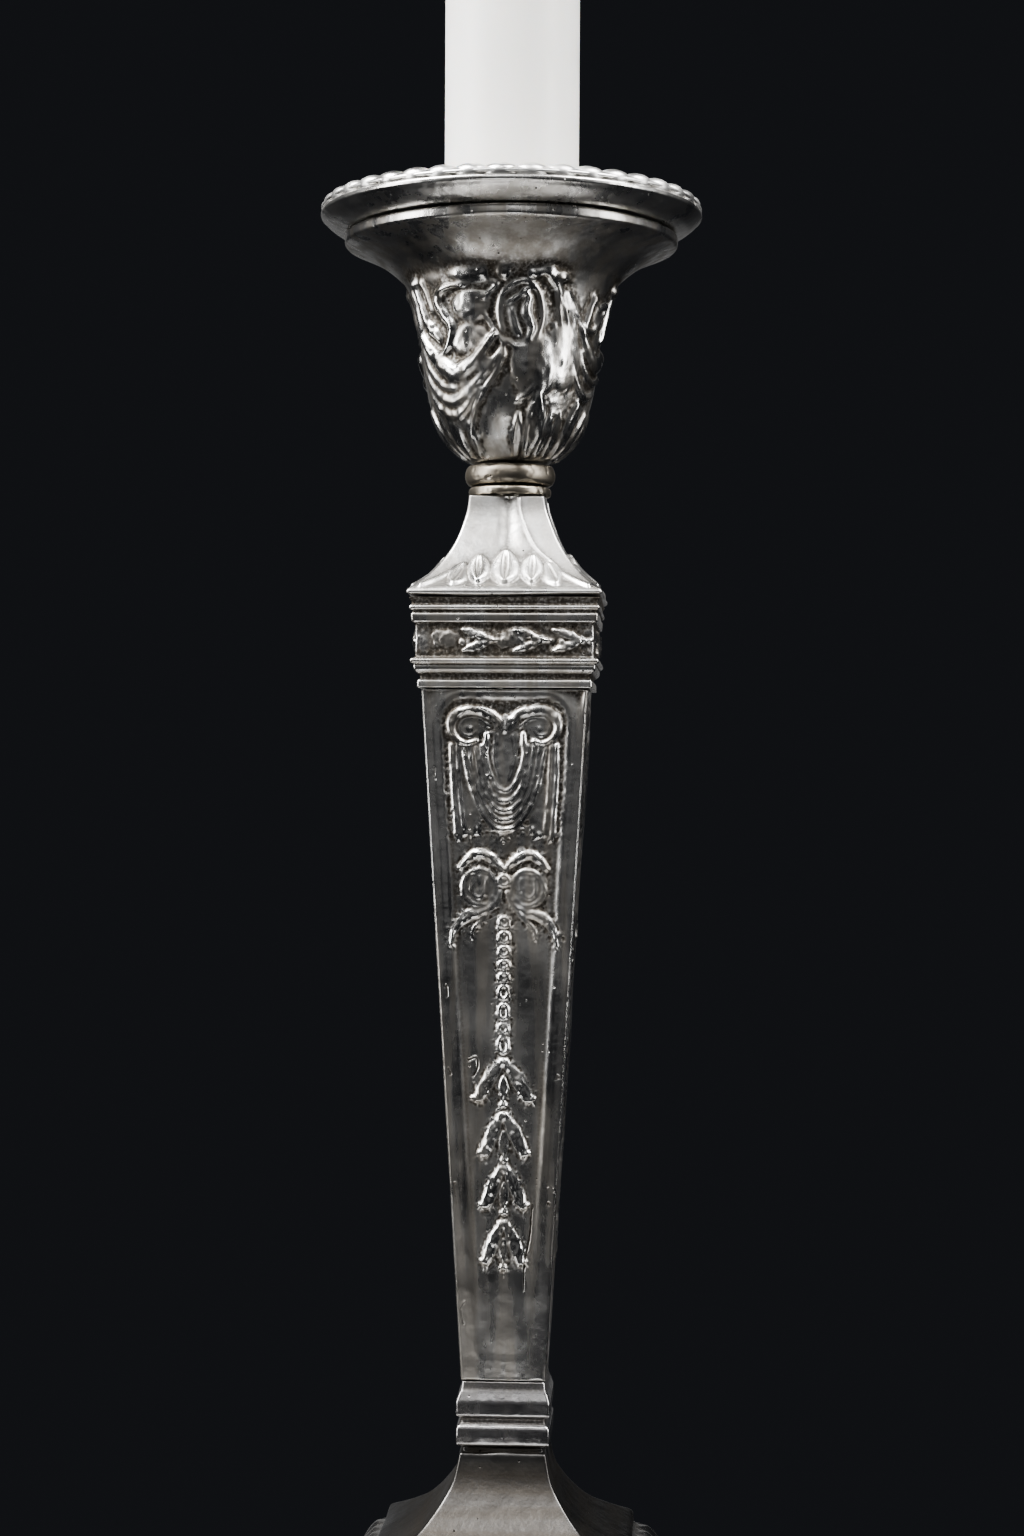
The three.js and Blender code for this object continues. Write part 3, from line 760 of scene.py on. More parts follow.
def lotus(x, z):
    z = z - bottom
    petals = [
        leaf(x, z, (0, 1.6), (0, 7.6), 2.5, 0.85, veins=0, fullest=0.42),
        leaf(np.abs(x), z, (4.2, 1.7), (4, 6.7), 2.0, 0.75, veins=0, fullest=0.5),
        leaf(np.abs(x), z, (8.4, 1.6), (6.2, 5.4), 1.7, 0.45, veins=0, fullest=0.5),
    ]
    sprays = line(np.abs(x), z, [(6, 4.6), (8.2, 3.9), (10.6, 2.7), (13.2, 1.6)], (0.3, 0.5, 0.3), 0.4)
    flute = -0.4 * np.exp(-(((x - 0.2) / 1.2) ** 2)) * ease((z - 6.5) / 3)
    crease = line(x, z, [(1.7, 18), (2.1, 13.4), (3.6, 9.4), (5.2, 7.2), (8, 4.8)], (0.22, 0.3, 0.2), 0.4)
    return tallest(*petals, sprays, crease) + flute


shoulder = square_moulding("shoulder_flare", shoulder_outline, shoulder_inside, lotus, uneven=0.07, seed=33,
                           arris=0.5)
stand_in(shoulder, soft_silver, "stick", "silver_plate", "shoulder")

# %% [markdown]
# Below the shaft, a small collar hides the joint with the foot: a ramp, a face, a groove, and a block whose
# lower edge is rounded. The neck of the foot then spreads in one smooth curve to a square platform.

# %% Collar and neck
half, bottom, top = extent("column_collar")
collar_outline = outline(
    inset(half, bottom, (0.55, 0), (0.15, 0.25), (0.05, 0.7), (0, 1.7), (0.05, 2.9), (0.2, 3.3), (0.75, 3.75),
          (0.75, 4.5), (0.1, 4.85), (0, 5.2), (0, 7.1), (0.06, 7.4), (0.43, 8.5)),
    [(SHAFT_FOOT, bottom + 9.2), (SHAFT_FOOT - 0.15, top)],
    step=0.16, ease=0.13,
)
collar_inside = [(SHAFT_FOOT - WALL, top), (SHAFT_FOOT - WALL, bottom)]
collar = square_moulding("collar", collar_outline, collar_inside, step=0.16, seed=35, arris=0.55, grime_and_painted_shade=0.03)
stand_in(collar, shaded_cool_silver, "stick", "silver_plate", "column_collar")

half, bottom, top = extent("foot_neck")
spread = [(20.8, 1.2), (20.2, 1.8), (18, 3), (15.8, 4.3), (13.3, 6), (11, 8.4), (9.1, 11), (7.8, 13.4),
          (7.1, 16.2)]
neck_outline = outline(
    [(half, bottom), (half, bottom + 1)],
    smooth(lifted(bottom, *spread) + [(6.85, top - 0.95)]),
    [(6.3, top - 0.75), (6.3, top)],
    ease=0.14,
)
neck_inside = [(3, top), (3, top - WALL), (5.4, top - WALL),
               *lifted(bottom, (6.4, 13), (9.8, 7.6), (14.6, 3)), *inset(half, bottom, (2, 0.6), (WALL, 0))]
# Painted shade under the collar, with tarnish in the joint: the top 1.1 mm of the neck is darkened.
joint = neck_outline[:, 1:] > top - 1.1
neck = square_moulding("foot_spread", neck_outline, neck_inside, step=0.25, uneven=0.07, seed=37, arris=0.4,
                       grime_and_painted_shade=0.05 + 0.2 * joint)
stand_in(neck, shaded_brushed_silver, "stick", "silver_plate", "foot_neck")

# %% [markdown]
# ## Turned pieces
#
# The bell, the rings of the knop, the pan, the tube and the candle were all turned or spun, so they come from
# round outlines. Their relief is asked for by angle, in degrees from the front towards the right, and height.

# %% Turned rings and turned solids
def around(outer, columns):
    """The angle and the height of every point of a turned grid."""
    degrees = np.linspace(0, 360, columns, endpoint=False)[None, :] + 0 * outer[:, :1]
    return degrees, outer[:, 1:] + 0 * degrees


def turned_solid(name, outer, columns, relief):
    marks = relief(*around(outer, columns))
    return solid_mesh(name, sweep(round_ring(columns), columns, outer, [], marks), -marks)


def turned(name, outer, inner, columns, relief=None, step=STEP, uneven=0.02, seed=1, lumps=4.5):
    degrees, z = around(outer, columns)
    marks = np.zeros_like(z) if relief is None else relief(degrees, z)
    marks = marks + uneven * grain(z.shape, lumps / step, seed, wrap=True)
    grid = sweep(round_ring(columns), columns, outer, inner, marks)
    return ring_mesh(name, grid, recess_of(marks, wrap=True) + creases_of(outer))


# %% [markdown]
# The bell is the showpiece. Heavy drapery is looped up to tassels and bows, oval medallions hang between, and
# a cup of veined leaves rises from the bottom. Above the chasing the metal flares out plain and polished to
# a broad lip. The design goes round twice, so one half of it is laid out, from -90 to 90 degrees.
# Its places are given as millimetres round the bell at its waist. Wear has rounded everything, and here a
# fold has split, which leaves a smooth patch with a raised torn edge beside it.

# %% Hanging drapery of the bell
WAIST = 15 * math.pi / 180
TORN_EDGE = [(-2, 247.5), (-1.3, 246.3), (-3.6, 243.6), (-2.4, 240.7), (0.1, 236.7), (-1.2, 234.4),
             (-4.1, 230.9), (-6.7, 226.9), (-8.3, 224)]


def big_swag(a, z):
    """The cloth between the tassel and the torn edge, with the loop that is folded over it."""
    tassel = [
        bead(a, z, (-15.7, 248.4), (1.4, 1.2), 1.1),
        line(a, z, [(-15.9, 247.6), (-15.3, 245.2), (-14.4, 242.6)], (1.1, 0.8), 1.0),
        line(a, z, [(-13.9, 248.4), (-13.2, 246), (-12.7, 243.4)], (0.5, 0.7, 0.4), 0.8),
        line(a, z, [(-18.6, 247.4), (-18, 243.4), (-16.9, 239.6)], (0.5, 0.8, 0.5), 0.7),
    ]
    loop = line(a, z, [(-5.9, 246.8), (-8.3, 247), (-10.2, 246.2), (-11.1, 244.5), (-10.2, 242.6),
                       (-8.9, 240.8), (-9.2, 238.9), (-10.2, 237.2), (-11.4, 236.6), (-13.2, 237.2),
                       (-15.3, 238.8)], (0.3, 0.9, 1.2, 1.1, 0.7, 0.5, 0.4), 1.05)
    inner = line(a, z, [(-15.2, 243.5), (-14.1, 241.8), (-12.8, 240.2), (-11.6, 239)], (0.7, 1.2, 0.7), 0.9)
    pillows = [bead(a, z, (-5.2, 243.6), (3.4, 2.9), 0.85), bead(a, z, (-5.9, 238.4), (3.8, 2.8), 0.75),
               bead(a, z, (-5.1, 249), (3.1, 2.6), 0.45)]
    belly = line(a, z, [(-16.2, 240.4), (-13.4, 236.8), (-11, 234.6), (-8.8, 233.3), (-6.4, 234.2),
                        (-4, 236.4), (-1.6, 239)], (0.9, 1.5, 1.9, 1.9, 1.4, 0.9, 0.5), 1.3)
    folds = [
        line(a, z, [(-17.4, 238), (-14.8, 234.2), (-12.2, 231.9), (-9, 231.2), (-6.2, 232.6), (-3.2, 235.2)],
             0.8, 0.62),
        line(a, z, [(-17.8, 236), (-15.6, 232.4), (-13.2, 230.3), (-10.6, 229.3), (-8.2, 229.8),
                    (-5.4, 231.9), (-3, 234.2), (-0.2, 236.4)], (0.7, 1.1, 0.7), 0.62),
        line(a, z, [(-18, 233.5), (-15.8, 230), (-13, 227.8), (-10, 227.2), (-7.4, 228.4), (-5, 230.8)],
             (0.6, 1.0, 0.6), 0.5),
    ]
    return tallest(*tassel, loop, inner, *pillows, belly, *folds)


def side_drape(a, z):
    """Gathers below the bow, a ribbon end like a star, and the swag that turns out of sight."""
    gathers = [line(a, z, [(7.6 + 0.7 * i, 246.4 - 0.1 * i), (8.3 + 0.95 * i, 243.8), (9.2 + 1.35 * i, 241)],
                    (0.3, 0.5, 0.15), 0.7) for i in range(4)]
    star = [
        line(a, z, [(13.9, 241.2), (14.6, 243.6), (15.2, 246.4)], (0.7, 0.4), 0.9),
        line(a, z, [(15.2, 246.2), (16.6, 244.4), (17.8, 245), (19.6, 245.8)], (0.4, 0.7, 0.4), 0.9),
        line(a, z, [(19.6, 245.6), (18.4, 243.2), (16.2, 241), (13.9, 241)], 0.55, 0.85),
        bead(a, z, (17, 243.2), (1.8, 1.7), 0.6),
    ]
    swag = line(a, z, [(13, 241), (14.8, 238.2), (17.4, 236.2), (20, 236), (22.8, 237.6)],
                (0.6, 1.4, 1.7, 1.2), 1.05)
    arcs = [line(a, z, [(12.2, 234.8), (13.4, 232.6), (15.2, 230.9), (17.6, 230.4), (20.6, 231.4)],
                 (0.4, 0.7, 0.4), 0.85),
            line(a, z, [(13.6, 237.4), (15, 234.8), (17.2, 233.2), (20, 233), (22.6, 234.2)],
                 (0.4, 0.7, 0.4), 0.8)]
    cloth = [bead(a, z, (10.4, 236), (4, 5.4), 0.6), bead(a, z, (5, 234.4), (4.4, 5.4), 0.7)]
    end = [bead(a, z, (21.8, 248), (1.3, 1.2), 1),
           line(a, z, [(21.8, 247), (21.1, 243.5), (20.6, 239.8)], (0.8, 0.5), 0.9)]
    return tallest(*gathers, *star, swag, *arcs, *cloth, *end)


# %% Medallion, bow and leaves of the bell
def medallion(a, z):
    return tallest(
        hoop(a, z, (2.6, 242.3), (3.4, 5.1), 0.6, 0.6),
        bead(a, z, (2.6, 242.3), (3.4, 5.1), 0.3),
        line(a, z, [(3.8, 244.8), (3.5, 242.6), (4.3, 240.4), (3.8, 238.4)], (0.6, 0.95, 0.8, 0.3), 1.0),
        line(a, z, [(0.9, 244.3), (2.4, 245.2), (3.8, 246.3)], (0.3, 0.5, 0.4), 0.8),
        line(a, z, [(1.4, 243.2), (1.8, 241), (2.5, 239.2)], (0.5, 0.75, 0.4), 0.7),
        bead(a, z, (3.2, 245.8), (0.8, 0.8), 0.95),
    )


def bow(a, z):
    return tallest(
        bead(a, z, (6.1, 249), (1.5, 1.1), 1.05),
        bead(a, z, (4.3, 248.5), (1.2, 0.9), 0.85),
        bead(a, z, (8, 248.2), (1.4, 1), 0.85),
        line(a, z, [(6.8, 248), (8, 246.6), (8.4, 244.6)], (0.9, 0.6), 0.85),
        leaf(a, z, (-0.2, 246.9), (-0.3, 251), 1.1, 0.5, veins=0),
    )


def calyx(a, z, foot):
    """Pointed leaves of unequal height, as (place, lean, height, half width, how proud)."""
    leaves = [(-20, 0, 9, 2.2, 0.8), (-16, -0.2, 7.4, 1.9, 0.7), (-12, -0.4, 8.6, 2.3, 0.85),
              (-8.5, 0.3, 6, 1.5, 0.7), (2.6, -0.3, 7, 1.6, 0.7), (5.9, 0, 10, 2.6, 0.95),
              (9, 0.2, 7, 1.7, 0.7), (12, -0.6, 7.4, 1.6, 0.7), (15.5, -0.3, 9.4, 2.2, 0.8),
              (19.4, 0.2, 8.2, 1.8, 0.7), (23, 0.1, 6.8, 1.6, 0.6)]
    hook = line(a, z, [(2, 229.2), (3.4, 229.8), (4.9, 231.4)], (0.3, 0.6, 0.3), 0.85)
    return tallest(hook, *[leaf(a, z, (at, foot - 0.6), (at + lean, foot + tall), wide, proud, veins=2)
                           for at, lean, tall, wide, proud in leaves])


def bell_relief(degrees, z):
    foot = z.min() + 0.4
    once = slice(0, degrees.shape[1] // 2)
    a = ((degrees[:, once] + 90) % 180 - 90) * WAIST + 0.22 * grain(z[:, once].shape, 14, 70)
    level = z[:, once] + 0.22 * grain(a.shape, 14, 71)
    edge = np.array(TORN_EDGE[::-1])
    within = ease((np.interp(level, edge[:, 1], edge[:, 0]) - a) / 0.7)
    cloth = within * ease((a + 19) / 4) * ease((level - 223) / 3)
    torn = line(a, level, TORN_EDGE, 0.34, 1.15)
    others = [side_drape(a, level), medallion(a, level), bow(a, level), calyx(a, level, foot)]
    marks = np.tile(tallest(big_swag(a, level) + 0.4 * cloth, torn, *others), (1, 2))
    marks = blurred(marks * (1 + 0.06 * grain(z.shape, 1.2, 72, wrap=True)), 1.2, wrap=True)
    near = np.clip(blurred((marks > 0.05).astype(float), 4, wrap=True) * 2, 0, 1) * (marks < 0.15)
    ground = near * 0.06 * grain(z.shape, 1, 75, wrap=True) + 0.08 * grain(z.shape, 9, 76, wrap=True)
    return (marks + ground) * ease((250.6 - z) / 2.4) * ease((z - foot + 0.4) / 1.2)


# %% Bell
_, bottom, top = extent("socket_bell")
bell = [(6.4, 0), (7.5, 0.9), (10.3, 3.8), (12.6, 8.3), (13.7, 12.7), (14.3, 17.2), (15, 22), (15.9, 26),
        (17.2, 28.9), (18.4, 30.3), (19.8, 31.5), (21.3, 32.6), (23.1, 33.6), (25.3, 34.6), (26.7, 35.2)]
bell_outline = outline(
    smooth(lifted(bottom, *bell)),
    [(27, bottom + 35.5), (27, top - 0.35), (26.6, top)],
    step=0.23, ease=0.13,
)
hollow = lifted(bottom, (22, 34.3), (19.2, 32.5), (17, 30.4), (15.4, 28), (14.2, 24), (13.1, 17),
                (12.4, 12.4), (11, 7.4), (8.6, 3.6), (7, 2))
bell_inside = smooth([(25.5, top), (24.6, top - 1), *hollow], parts=3)
bell_inside = np.vstack([bell_inside, lifted(bottom, (2.9, 2), (2.9, 0))])
bell_piece = turned("bell", bell_outline, bell_inside, 400, bell_relief, step=0.23, uneven=0.04, seed=41)
stand_in(bell_piece, chased_silver, "stick", "silver_plate", "socket_bell")

# %% [markdown]
# The two rings under the bell are rougher castings. Nobody polishes there, so they are warm, pitted and dull.

# %% Knop and ferrule
half, bottom, top = extent("knop_ring")
knop_outline = outline(
    [(2.9, bottom)],
    inset(half, bottom, (0.7, 0), (0.2, 0.5), (-0.05, 1.3), (-0.05, 2), (0.2, 2.8)),
    [(half - 0.6, top), (2.9, top)],
    ease=0.2,
)
pocked = lambda degrees, z: -0.09 * np.clip(grain(z.shape, 1.4, 43, wrap=True) - 0.6, 0, 2)
knop = turned("knop", knop_outline, [], 220, pocked, uneven=0.05, seed=44, lumps=2)
stand_in(knop, worn_silver, "stick", "dull_silver", "knop_ring")

half, bottom, top = extent("neck_ferrule")
ferrule_outline = outline(
    [(2.9, bottom), (half - 0.2, bottom), (half, bottom + 0.4)],
    [(half, top - 0.3), (half - 0.3, top), (2.9, top)],
    ease=0.15,
)
ferrule = turned("ferrule", ferrule_outline, [], 200, pocked, uneven=0.03, seed=45, lumps=2)
stand_in(ferrule, worn_silver, "stick", "dull_silver", "neck_ferrule")

# %% [markdown]
# The nozzle is a shallow pan with a tube in it. It lifts out of the bell for cleaning. Its rolled rim and the
# tube are plain. The candle stands on the tube's turned-in floor.

# %% Drip pan and candle tube
half, bottom, top = extent("drip_pan")
TUBE_R = extent("candle_tube")[0] - 1.7
pan_outline = outline(
    lifted(bottom, (TUBE_R + 0.3, 0.7), (24, 0), (26.8, 0)),
    smooth(lifted(bottom, (27.4, 0.15), (28.8, 0.75), (30, 1.6), (30.7, 2.3))),
    [(half, bottom + 2.5), (half, top - 0.25), (half - 0.3, top), (28, top - 0.1)],
    ease=0.13,
)
pan_inside = lifted(bottom, (26, 1.9), (24.4, 1.35), (20, 1.2), (16, 1.4), (TUBE_R + 0.3, 1.5))
pan_inside = smooth([(27.2, top - 0.6), *pan_inside], parts=5)
pan = turned("pan", pan_outline, pan_inside, 300, uneven=0.03, seed=47, lumps=6)
stand_in(pan, plain_silver, "nozzle", "silver_plate", "drip_pan")

_, bottom, top = extent("candle_tube")
BORE = TUBE_R - 0.7
tube_outline = outline(
    [(8.5, bottom), (TUBE_R - 0.5, bottom), (TUBE_R, bottom + 0.6), (TUBE_R, top - 1.6)],
    [(TUBE_R + 1.4, top - 1.45), (TUBE_R + 1.7, top - 1), (TUBE_R + 1.4, top - 0.35), (TUBE_R + 0.7, top)],
    [(BORE + 0.4, top), (BORE, top - 0.5)],
    ease=0.15,
)
tube_inside = [(BORE, bottom + 12), (BORE, bottom + 1.2), (8.5, bottom + 1.2)]
tube = turned("tube", tube_outline, tube_inside, 180, uneven=0.015, seed=48)
stand_in(tube, inner_silver, "nozzle", "silver_plate", "candle_tube")

# %% [markdown]
# ## Lobed borders with Geometry Nodes
#
# Borders of small lobes, which silversmiths call gadroons, edge both the pan and the foot. A lobe is the
# same little swelling over and over along a closed path, so this is work for Geometry Nodes. The tree takes
# the path, sets out a number of points on it, and puts one swelling on each, turned along the path. The same
# tree serves both borders through its named inputs.

# %% The tree
def lobe_tree():
    tree = bpy.data.node_groups.new("lobes along a path", "GeometryNodeTree")
    tree.interface.new_socket("Geometry", in_out="OUTPUT", socket_type="NodeSocketGeometry")
    tree.interface.new_socket("Path", in_out="INPUT", socket_type="NodeSocketGeometry")
    tree.interface.new_socket("Count", in_out="INPUT", socket_type="NodeSocketInt")
    for name in ("Width", "Length", "Height", "Taper", "Lean"):
        tree.interface.new_socket(name, in_out="INPUT", socket_type="NodeSocketFloat")
    tree.interface.new_socket("Material", in_out="INPUT", socket_type="NodeSocketMaterial")
    given = tree.nodes.new("NodeGroupInput").outputs

    ball = node(tree, "GeometryNodeMeshUVSphere", {"Segments": 18, "Rings": 11, "Radius": 1.0})
    spot = node(tree, "GeometryNodeInputPosition").outputs["Position"]
    apart = node(tree, "ShaderNodeSeparateXYZ", {"Vector": spot}).outputs
    narrowing = sums(tree, "MULTIPLY", given["Taper"], apart["Y"])
    across = sums(tree, "MULTIPLY", apart["X"], sums(tree, "SUBTRACT", 1.0, narrowing))
    leaned = sums(tree, "ADD", across, sums(tree, "MULTIPLY", given["Lean"], apart["Y"]))
    shaped = node(tree, "ShaderNodeCombineXYZ", {"X": leaned, "Y": apart["Y"], "Z": apart["Z"]})
    moved = {"Geometry": ball.outputs["Mesh"], "Position": shaped.outputs["Vector"]}
    swelling = node(tree, "GeometryNodeSetPosition", moved).outputs["Geometry"]
    fall = {"Value": apart["Z"], "From Min": 0.25, "From Max": 0.9, "To Min": 0.3, "To Max": -0.1}
    low = node(tree, "ShaderNodeMapRange", fall).outputs["Result"]
    kept = {"Geometry": swelling, "Name": "recess", "Value": low}
    marked = node(tree, "GeometryNodeStoreNamedAttribute", kept, data_type="FLOAT", domain="POINT")
    widths = {"X": given["Width"], "Y": given["Length"], "Z": given["Height"]}
    size = node(tree, "ShaderNodeCombineXYZ", widths)
    sized = {"Geometry": marked.outputs["Geometry"], "Scale": size.outputs["Vector"]}
    lobe = node(tree, "GeometryNodeTransform", sized).outputs["Geometry"]

    curve = node(tree, "GeometryNodeMeshToCurve", {"Mesh": given["Path"]}).outputs["Curve"]
    spaced = node(tree, "GeometryNodeResampleCurve", {"Curve": curve, "Count": given["Count"]})
    tangent = node(tree, "GeometryNodeInputTangent").outputs["Tangent"]
    facing = node(tree, "FunctionNodeAlignRotationToVector", {"Vector": tangent}, axis="X", pivot_axis="Z")
    stood = {"Points": spaced.outputs["Curve"], "Instance": lobe, "Rotation": facing.outputs["Rotation"]}
    placed = node(tree, "GeometryNodeInstanceOnPoints", stood).outputs["Instances"]
    real = node(tree, "GeometryNodeRealizeInstances", {"Geometry": placed}).outputs["Geometry"]
    soft = node(tree, "GeometryNodeSetShadeSmooth", {"Geometry": real}).outputs["Geometry"]
    dressed = node(tree, "GeometryNodeSetMaterial", {"Geometry": soft, "Material": given["Material"]})
    node(tree, "NodeGroupOutput", {"Geometry": dressed.outputs["Geometry"]})
    return tree


LOBES = lobe_tree()


def lobes_along(name, path, material, **inputs):
    """Lobes on a closed path of points in millimetres. Width, Length and Height are half sizes."""
    mesh = bpy.data.meshes.new(name + "_path")
    joints = [(i, (i + 1) % len(path)) for i in range(len(path))]
    mesh.from_pydata([[c * MM for c in point] for point in path], joints, [])
    thing = bpy.data.objects.new(name, mesh)
    bpy.context.scene.collection.objects.link(thing)
    modifier = thing.modifiers.new("lobes", "NODES")
    modifier.node_group = LOBES
    values = {"Material": material, **inputs}
    for item in LOBES.interface.items_tree:
        if item.in_out == "INPUT" and item.name in values:
            value = values[item.name]
            modifier[item.identifier] = value * MM if item.name in ("Width", "Length", "Height") else value
    bpy.context.view_layer.update()
    evaluated = thing.evaluated_get(bpy.context.evaluated_depsgraph_get())
    made = bpy.data.meshes.new_from_object(evaluated)
    thing.modifiers.remove(modifier)
    thing.data = made
    made.name = name
    print(name, "has", inputs["Count"], "lobes and", len(made.vertices), "points")
    return thing


# %% [markdown]
# The pan's border stands on a low ring, and each lobe leans a little outwards over the rim. A ring under the
# lobes closes the gaps between them. The two are joined into one piece, because they are one casting.

# %% Border of the pan
def joined(name, *things):
    """One mesh object from several."""
    with bpy.context.temp_override(active_object=things[0], object=things[0], selected_objects=things,
                                   selected_editable_objects=things):
        bpy.ops.object.join()
    things[0].name = things[0].data.name = name
    return things[0]


half, bottom, top = extent("pan_border")
border_outline = outline(
    inset(half, bottom, (4.2, 0), (0.25, 0), (0.05, 0.3), (0.35, 0.62), (1.2, 1.05), (2.3, 1.2), (3.6, 0.8),
          (4.2, 0.2)),
    step=0.18, ease=0.15,
)
ring_under = turned("pan_ring", border_outline, [], 240, uneven=0.02, seed=49)
ring_under.data.materials.append(lit_polished_silver)
PATH_POINTS = 160
pan_path = np.column_stack([*round_ring(PATH_POINTS)(half - 2.1), np.full(PATH_POINTS, bottom + 0.3)])
pan_lobes = lobes_along("pan_lobes", pan_path.tolist(), lit_polished_silver, Count=40, Width=3.0, Length=2.05,
                        Height=1.45, Taper=-0.1, Lean=0.0)
pan_border = joined("pan_border_lobes", ring_under, pan_lobes)
stand_in(pan_border, lit_polished_silver, "nozzle", "silver_plate", "pan_border")

# %% [markdown]
# ## The foot
#
# A square stage of upright ribs carries the neck. Below it, the foot slopes down in a hollow curve to a flat
# edge and a border of lobes. Its four sides are chased like the bell, with an oval patera and looped
# garlands of small leaves.

# %% Ribbed stage
half, bottom, top = extent("foot_cushion")
stage_outline = outline(
    inset(half, bottom, (1.6, 0), (0.7, 0.3), (0.35, 1.2)),
    smooth(inset(half, bottom, (0.5, 2.2), (1.4, 5), (3, 8.2)) + [(half - 5.2, top - 0.9)]),
    [(half - 5.9, top - 0.2), (half - 6.2, top)],
    step=0.25, ease=0.2,
)
stage_inside = [(half - 7, top), (half - 7, top - WALL), *inset(half, bottom, (4, 6), (2.8, 1), (2.8, 0))]
RIBS = 13


def ribs(x, z):
    share = (x / np.interp(z, stage_outline[:, 1], stage_outline[:, 0])) * RIBS / 2
    body = ease((z - bottom - 1) / 2.4) * ease((top - 0.4 - z) / 1.6)
    return 0.95 * np.sqrt(np.abs(np.cos(np.pi * share))) * body


stage = square_moulding("ribbed_stage", stage_outline, stage_inside, ribs, step=0.25, seed=53)
stand_in(stage, plain_silver, "stick", "silver_plate", "foot_cushion")

# %% Foot
half, bottom, top = extent("foot")
RABBET = half - 5
SEAT = extent("foot_cushion")[0] + 1.2
slope = smooth([(RABBET - 2, 8.5), (48, 9.3), (43, 10.6), (37.5, 13.8), (32.6, 19.2), (29.6, 25),
                (SEAT, top - bottom - 1)])
foot_outline = outline(
    lifted(bottom, (half - 0.4, 0), (half - 0.4, 3.3), (RABBET, 3.3), (RABBET, 7.6), (RABBET - 0.5, 8.4)),
    lifted(bottom, *slope),
    [(SEAT - 0.2, top)],
    step=0.52, ease=0.3,
)
foot_inside = [
    (SEAT - 2, top), (SEAT - 2, top - 3),
    *lifted(bottom, (31, 16), (38, 10.5), (RABBET - 3, 7), (RABBET - 1.4, 6.5), (RABBET - 1.4, 2.1),
            (58.4, 2.1), (58.4, 0)),
]
along = np.concatenate([[0], np.cumsum(np.hypot(*np.diff(foot_outline, axis=0).T))])
SLOPE_START = float(np.interp(bottom + 8.6, foot_outline[:, 1], along))


def garland(x, z, points, count):
    """A cord with a leaf pair and a berry at even distances."""
    path = evenly(smooth(points), 0.1)
    stops = path[np.linspace(0, len(path) - 1, count).astype(int)]
    marks = [line(x, z, points, (0.9, 1.5, 0.9), 0.5)]
    for here, there in zip(stops, stops[1:]):
        for up in (1, -1):
            marks.append(leaf(x, z, here + (0, 0.5 * up), there + (0, 1.6 * up), 1.1, 1.0, veins=0))
        marks.append(bead(x, z, here, (0.9, 0.9), 1.15))
    return tallest(*marks)


def foot_relief(x, z):
    up = np.interp(z, foot_outline[:, 1], along) - SLOPE_START
    right = np.abs(x)
    marks = tallest(
        hoop(right, up, (0, 14), (5.2, 6.8), 0.6, 0.9),
        bead(right, up, (0, 14), (1.6, 2), 1.3),
        *[leaf(right, up, (1.4 * math.sin(turn), 14 + 1.8 * math.cos(turn)),
               (4.6 * math.sin(turn), 14 + 6 * math.cos(turn)), 1.2, 0.9, veins=0)
          for turn in np.linspace(0, math.pi, 7)],
        hoop(right, up, (3, 24.4), (2.6, 1.7), 0.6, 0.85),
        bead(right, up, (0, 23.8), (1.2, 1.2), 1.2),
        line(right, up, [(0.6, 23), (4, 21.4), (7, 22.2), (9, 20.6)], (0.6, 0.8, 0.3), 0.7),
        garland(right, up, [(6, 24), (9.5, 16.5), (16, 12), (23, 13), (27.5, 19)], 13),
        garland(right, up, [(28, 18), (31, 12), (33.5, 5)], 6),
        hoop(right, up, (28, 19.6), (1.7, 1.7), 0.5, 0.9),
    )
    return marks * ease(up / 1.5)


foot = square_moulding("chased_foot", foot_outline, foot_inside, foot_relief, step=0.56, uneven=0.06, seed=57,
                       arris=0.7)
stand_in(foot, chased_silver, "stick", "silver_plate", "foot")

# %% Border of the foot
half, bottom, top = extent("foot_border")
rim_outline = outline(
    inset(half, bottom, (4.3, 0), (0.6, 0), (0.3, 0.8), (0.8, 1.8), (2, 2.4), (3.8, 2.6), (4.3, 2.2)),
    step=0.4, ease=0.25,
)
rim_under = square_moulding("foot_rim", rim_outline, [], step=0.5, uneven=0.02, seed=59, arris=1.5)
rim_under.data.materials.append(plain_silver)
PATH_HALF, CORNER = half - 3.1, 1.6
rim_path = []
for side in range(4):
    for turn in np.radians(np.linspace(0, 90, 5)):
        x = PATH_HALF - CORNER + CORNER * math.sin(turn)
        y = -(PATH_HALF - CORNER + CORNER * math.cos(turn))
        for _ in range(side):
            x, y = -y, x
        rim_path.append((x, y, bottom + 1.3))
rim_lobes = lobes_along("foot_lobes", rim_path, plain_silver, Count=100, Width=2.35, Length=2.35, Height=2.3,
                        Taper=0.1, Lean=0.55)
foot_border = joined("foot_border_lobes", rim_under, rim_lobes)
stand_in(foot_border, plain_silver, "stick", "silver_plate", "foot_border")

# %% [markdown]
# ## Candle and wick
#
# A household candle is cast from paraffin wax: off-white, slightly clear at the surface, with a soft dull
# skin. Light goes into it and comes out again, which the shader's subsurface part does. The wick is braided
# cotton, so its three strands show as slow twists.

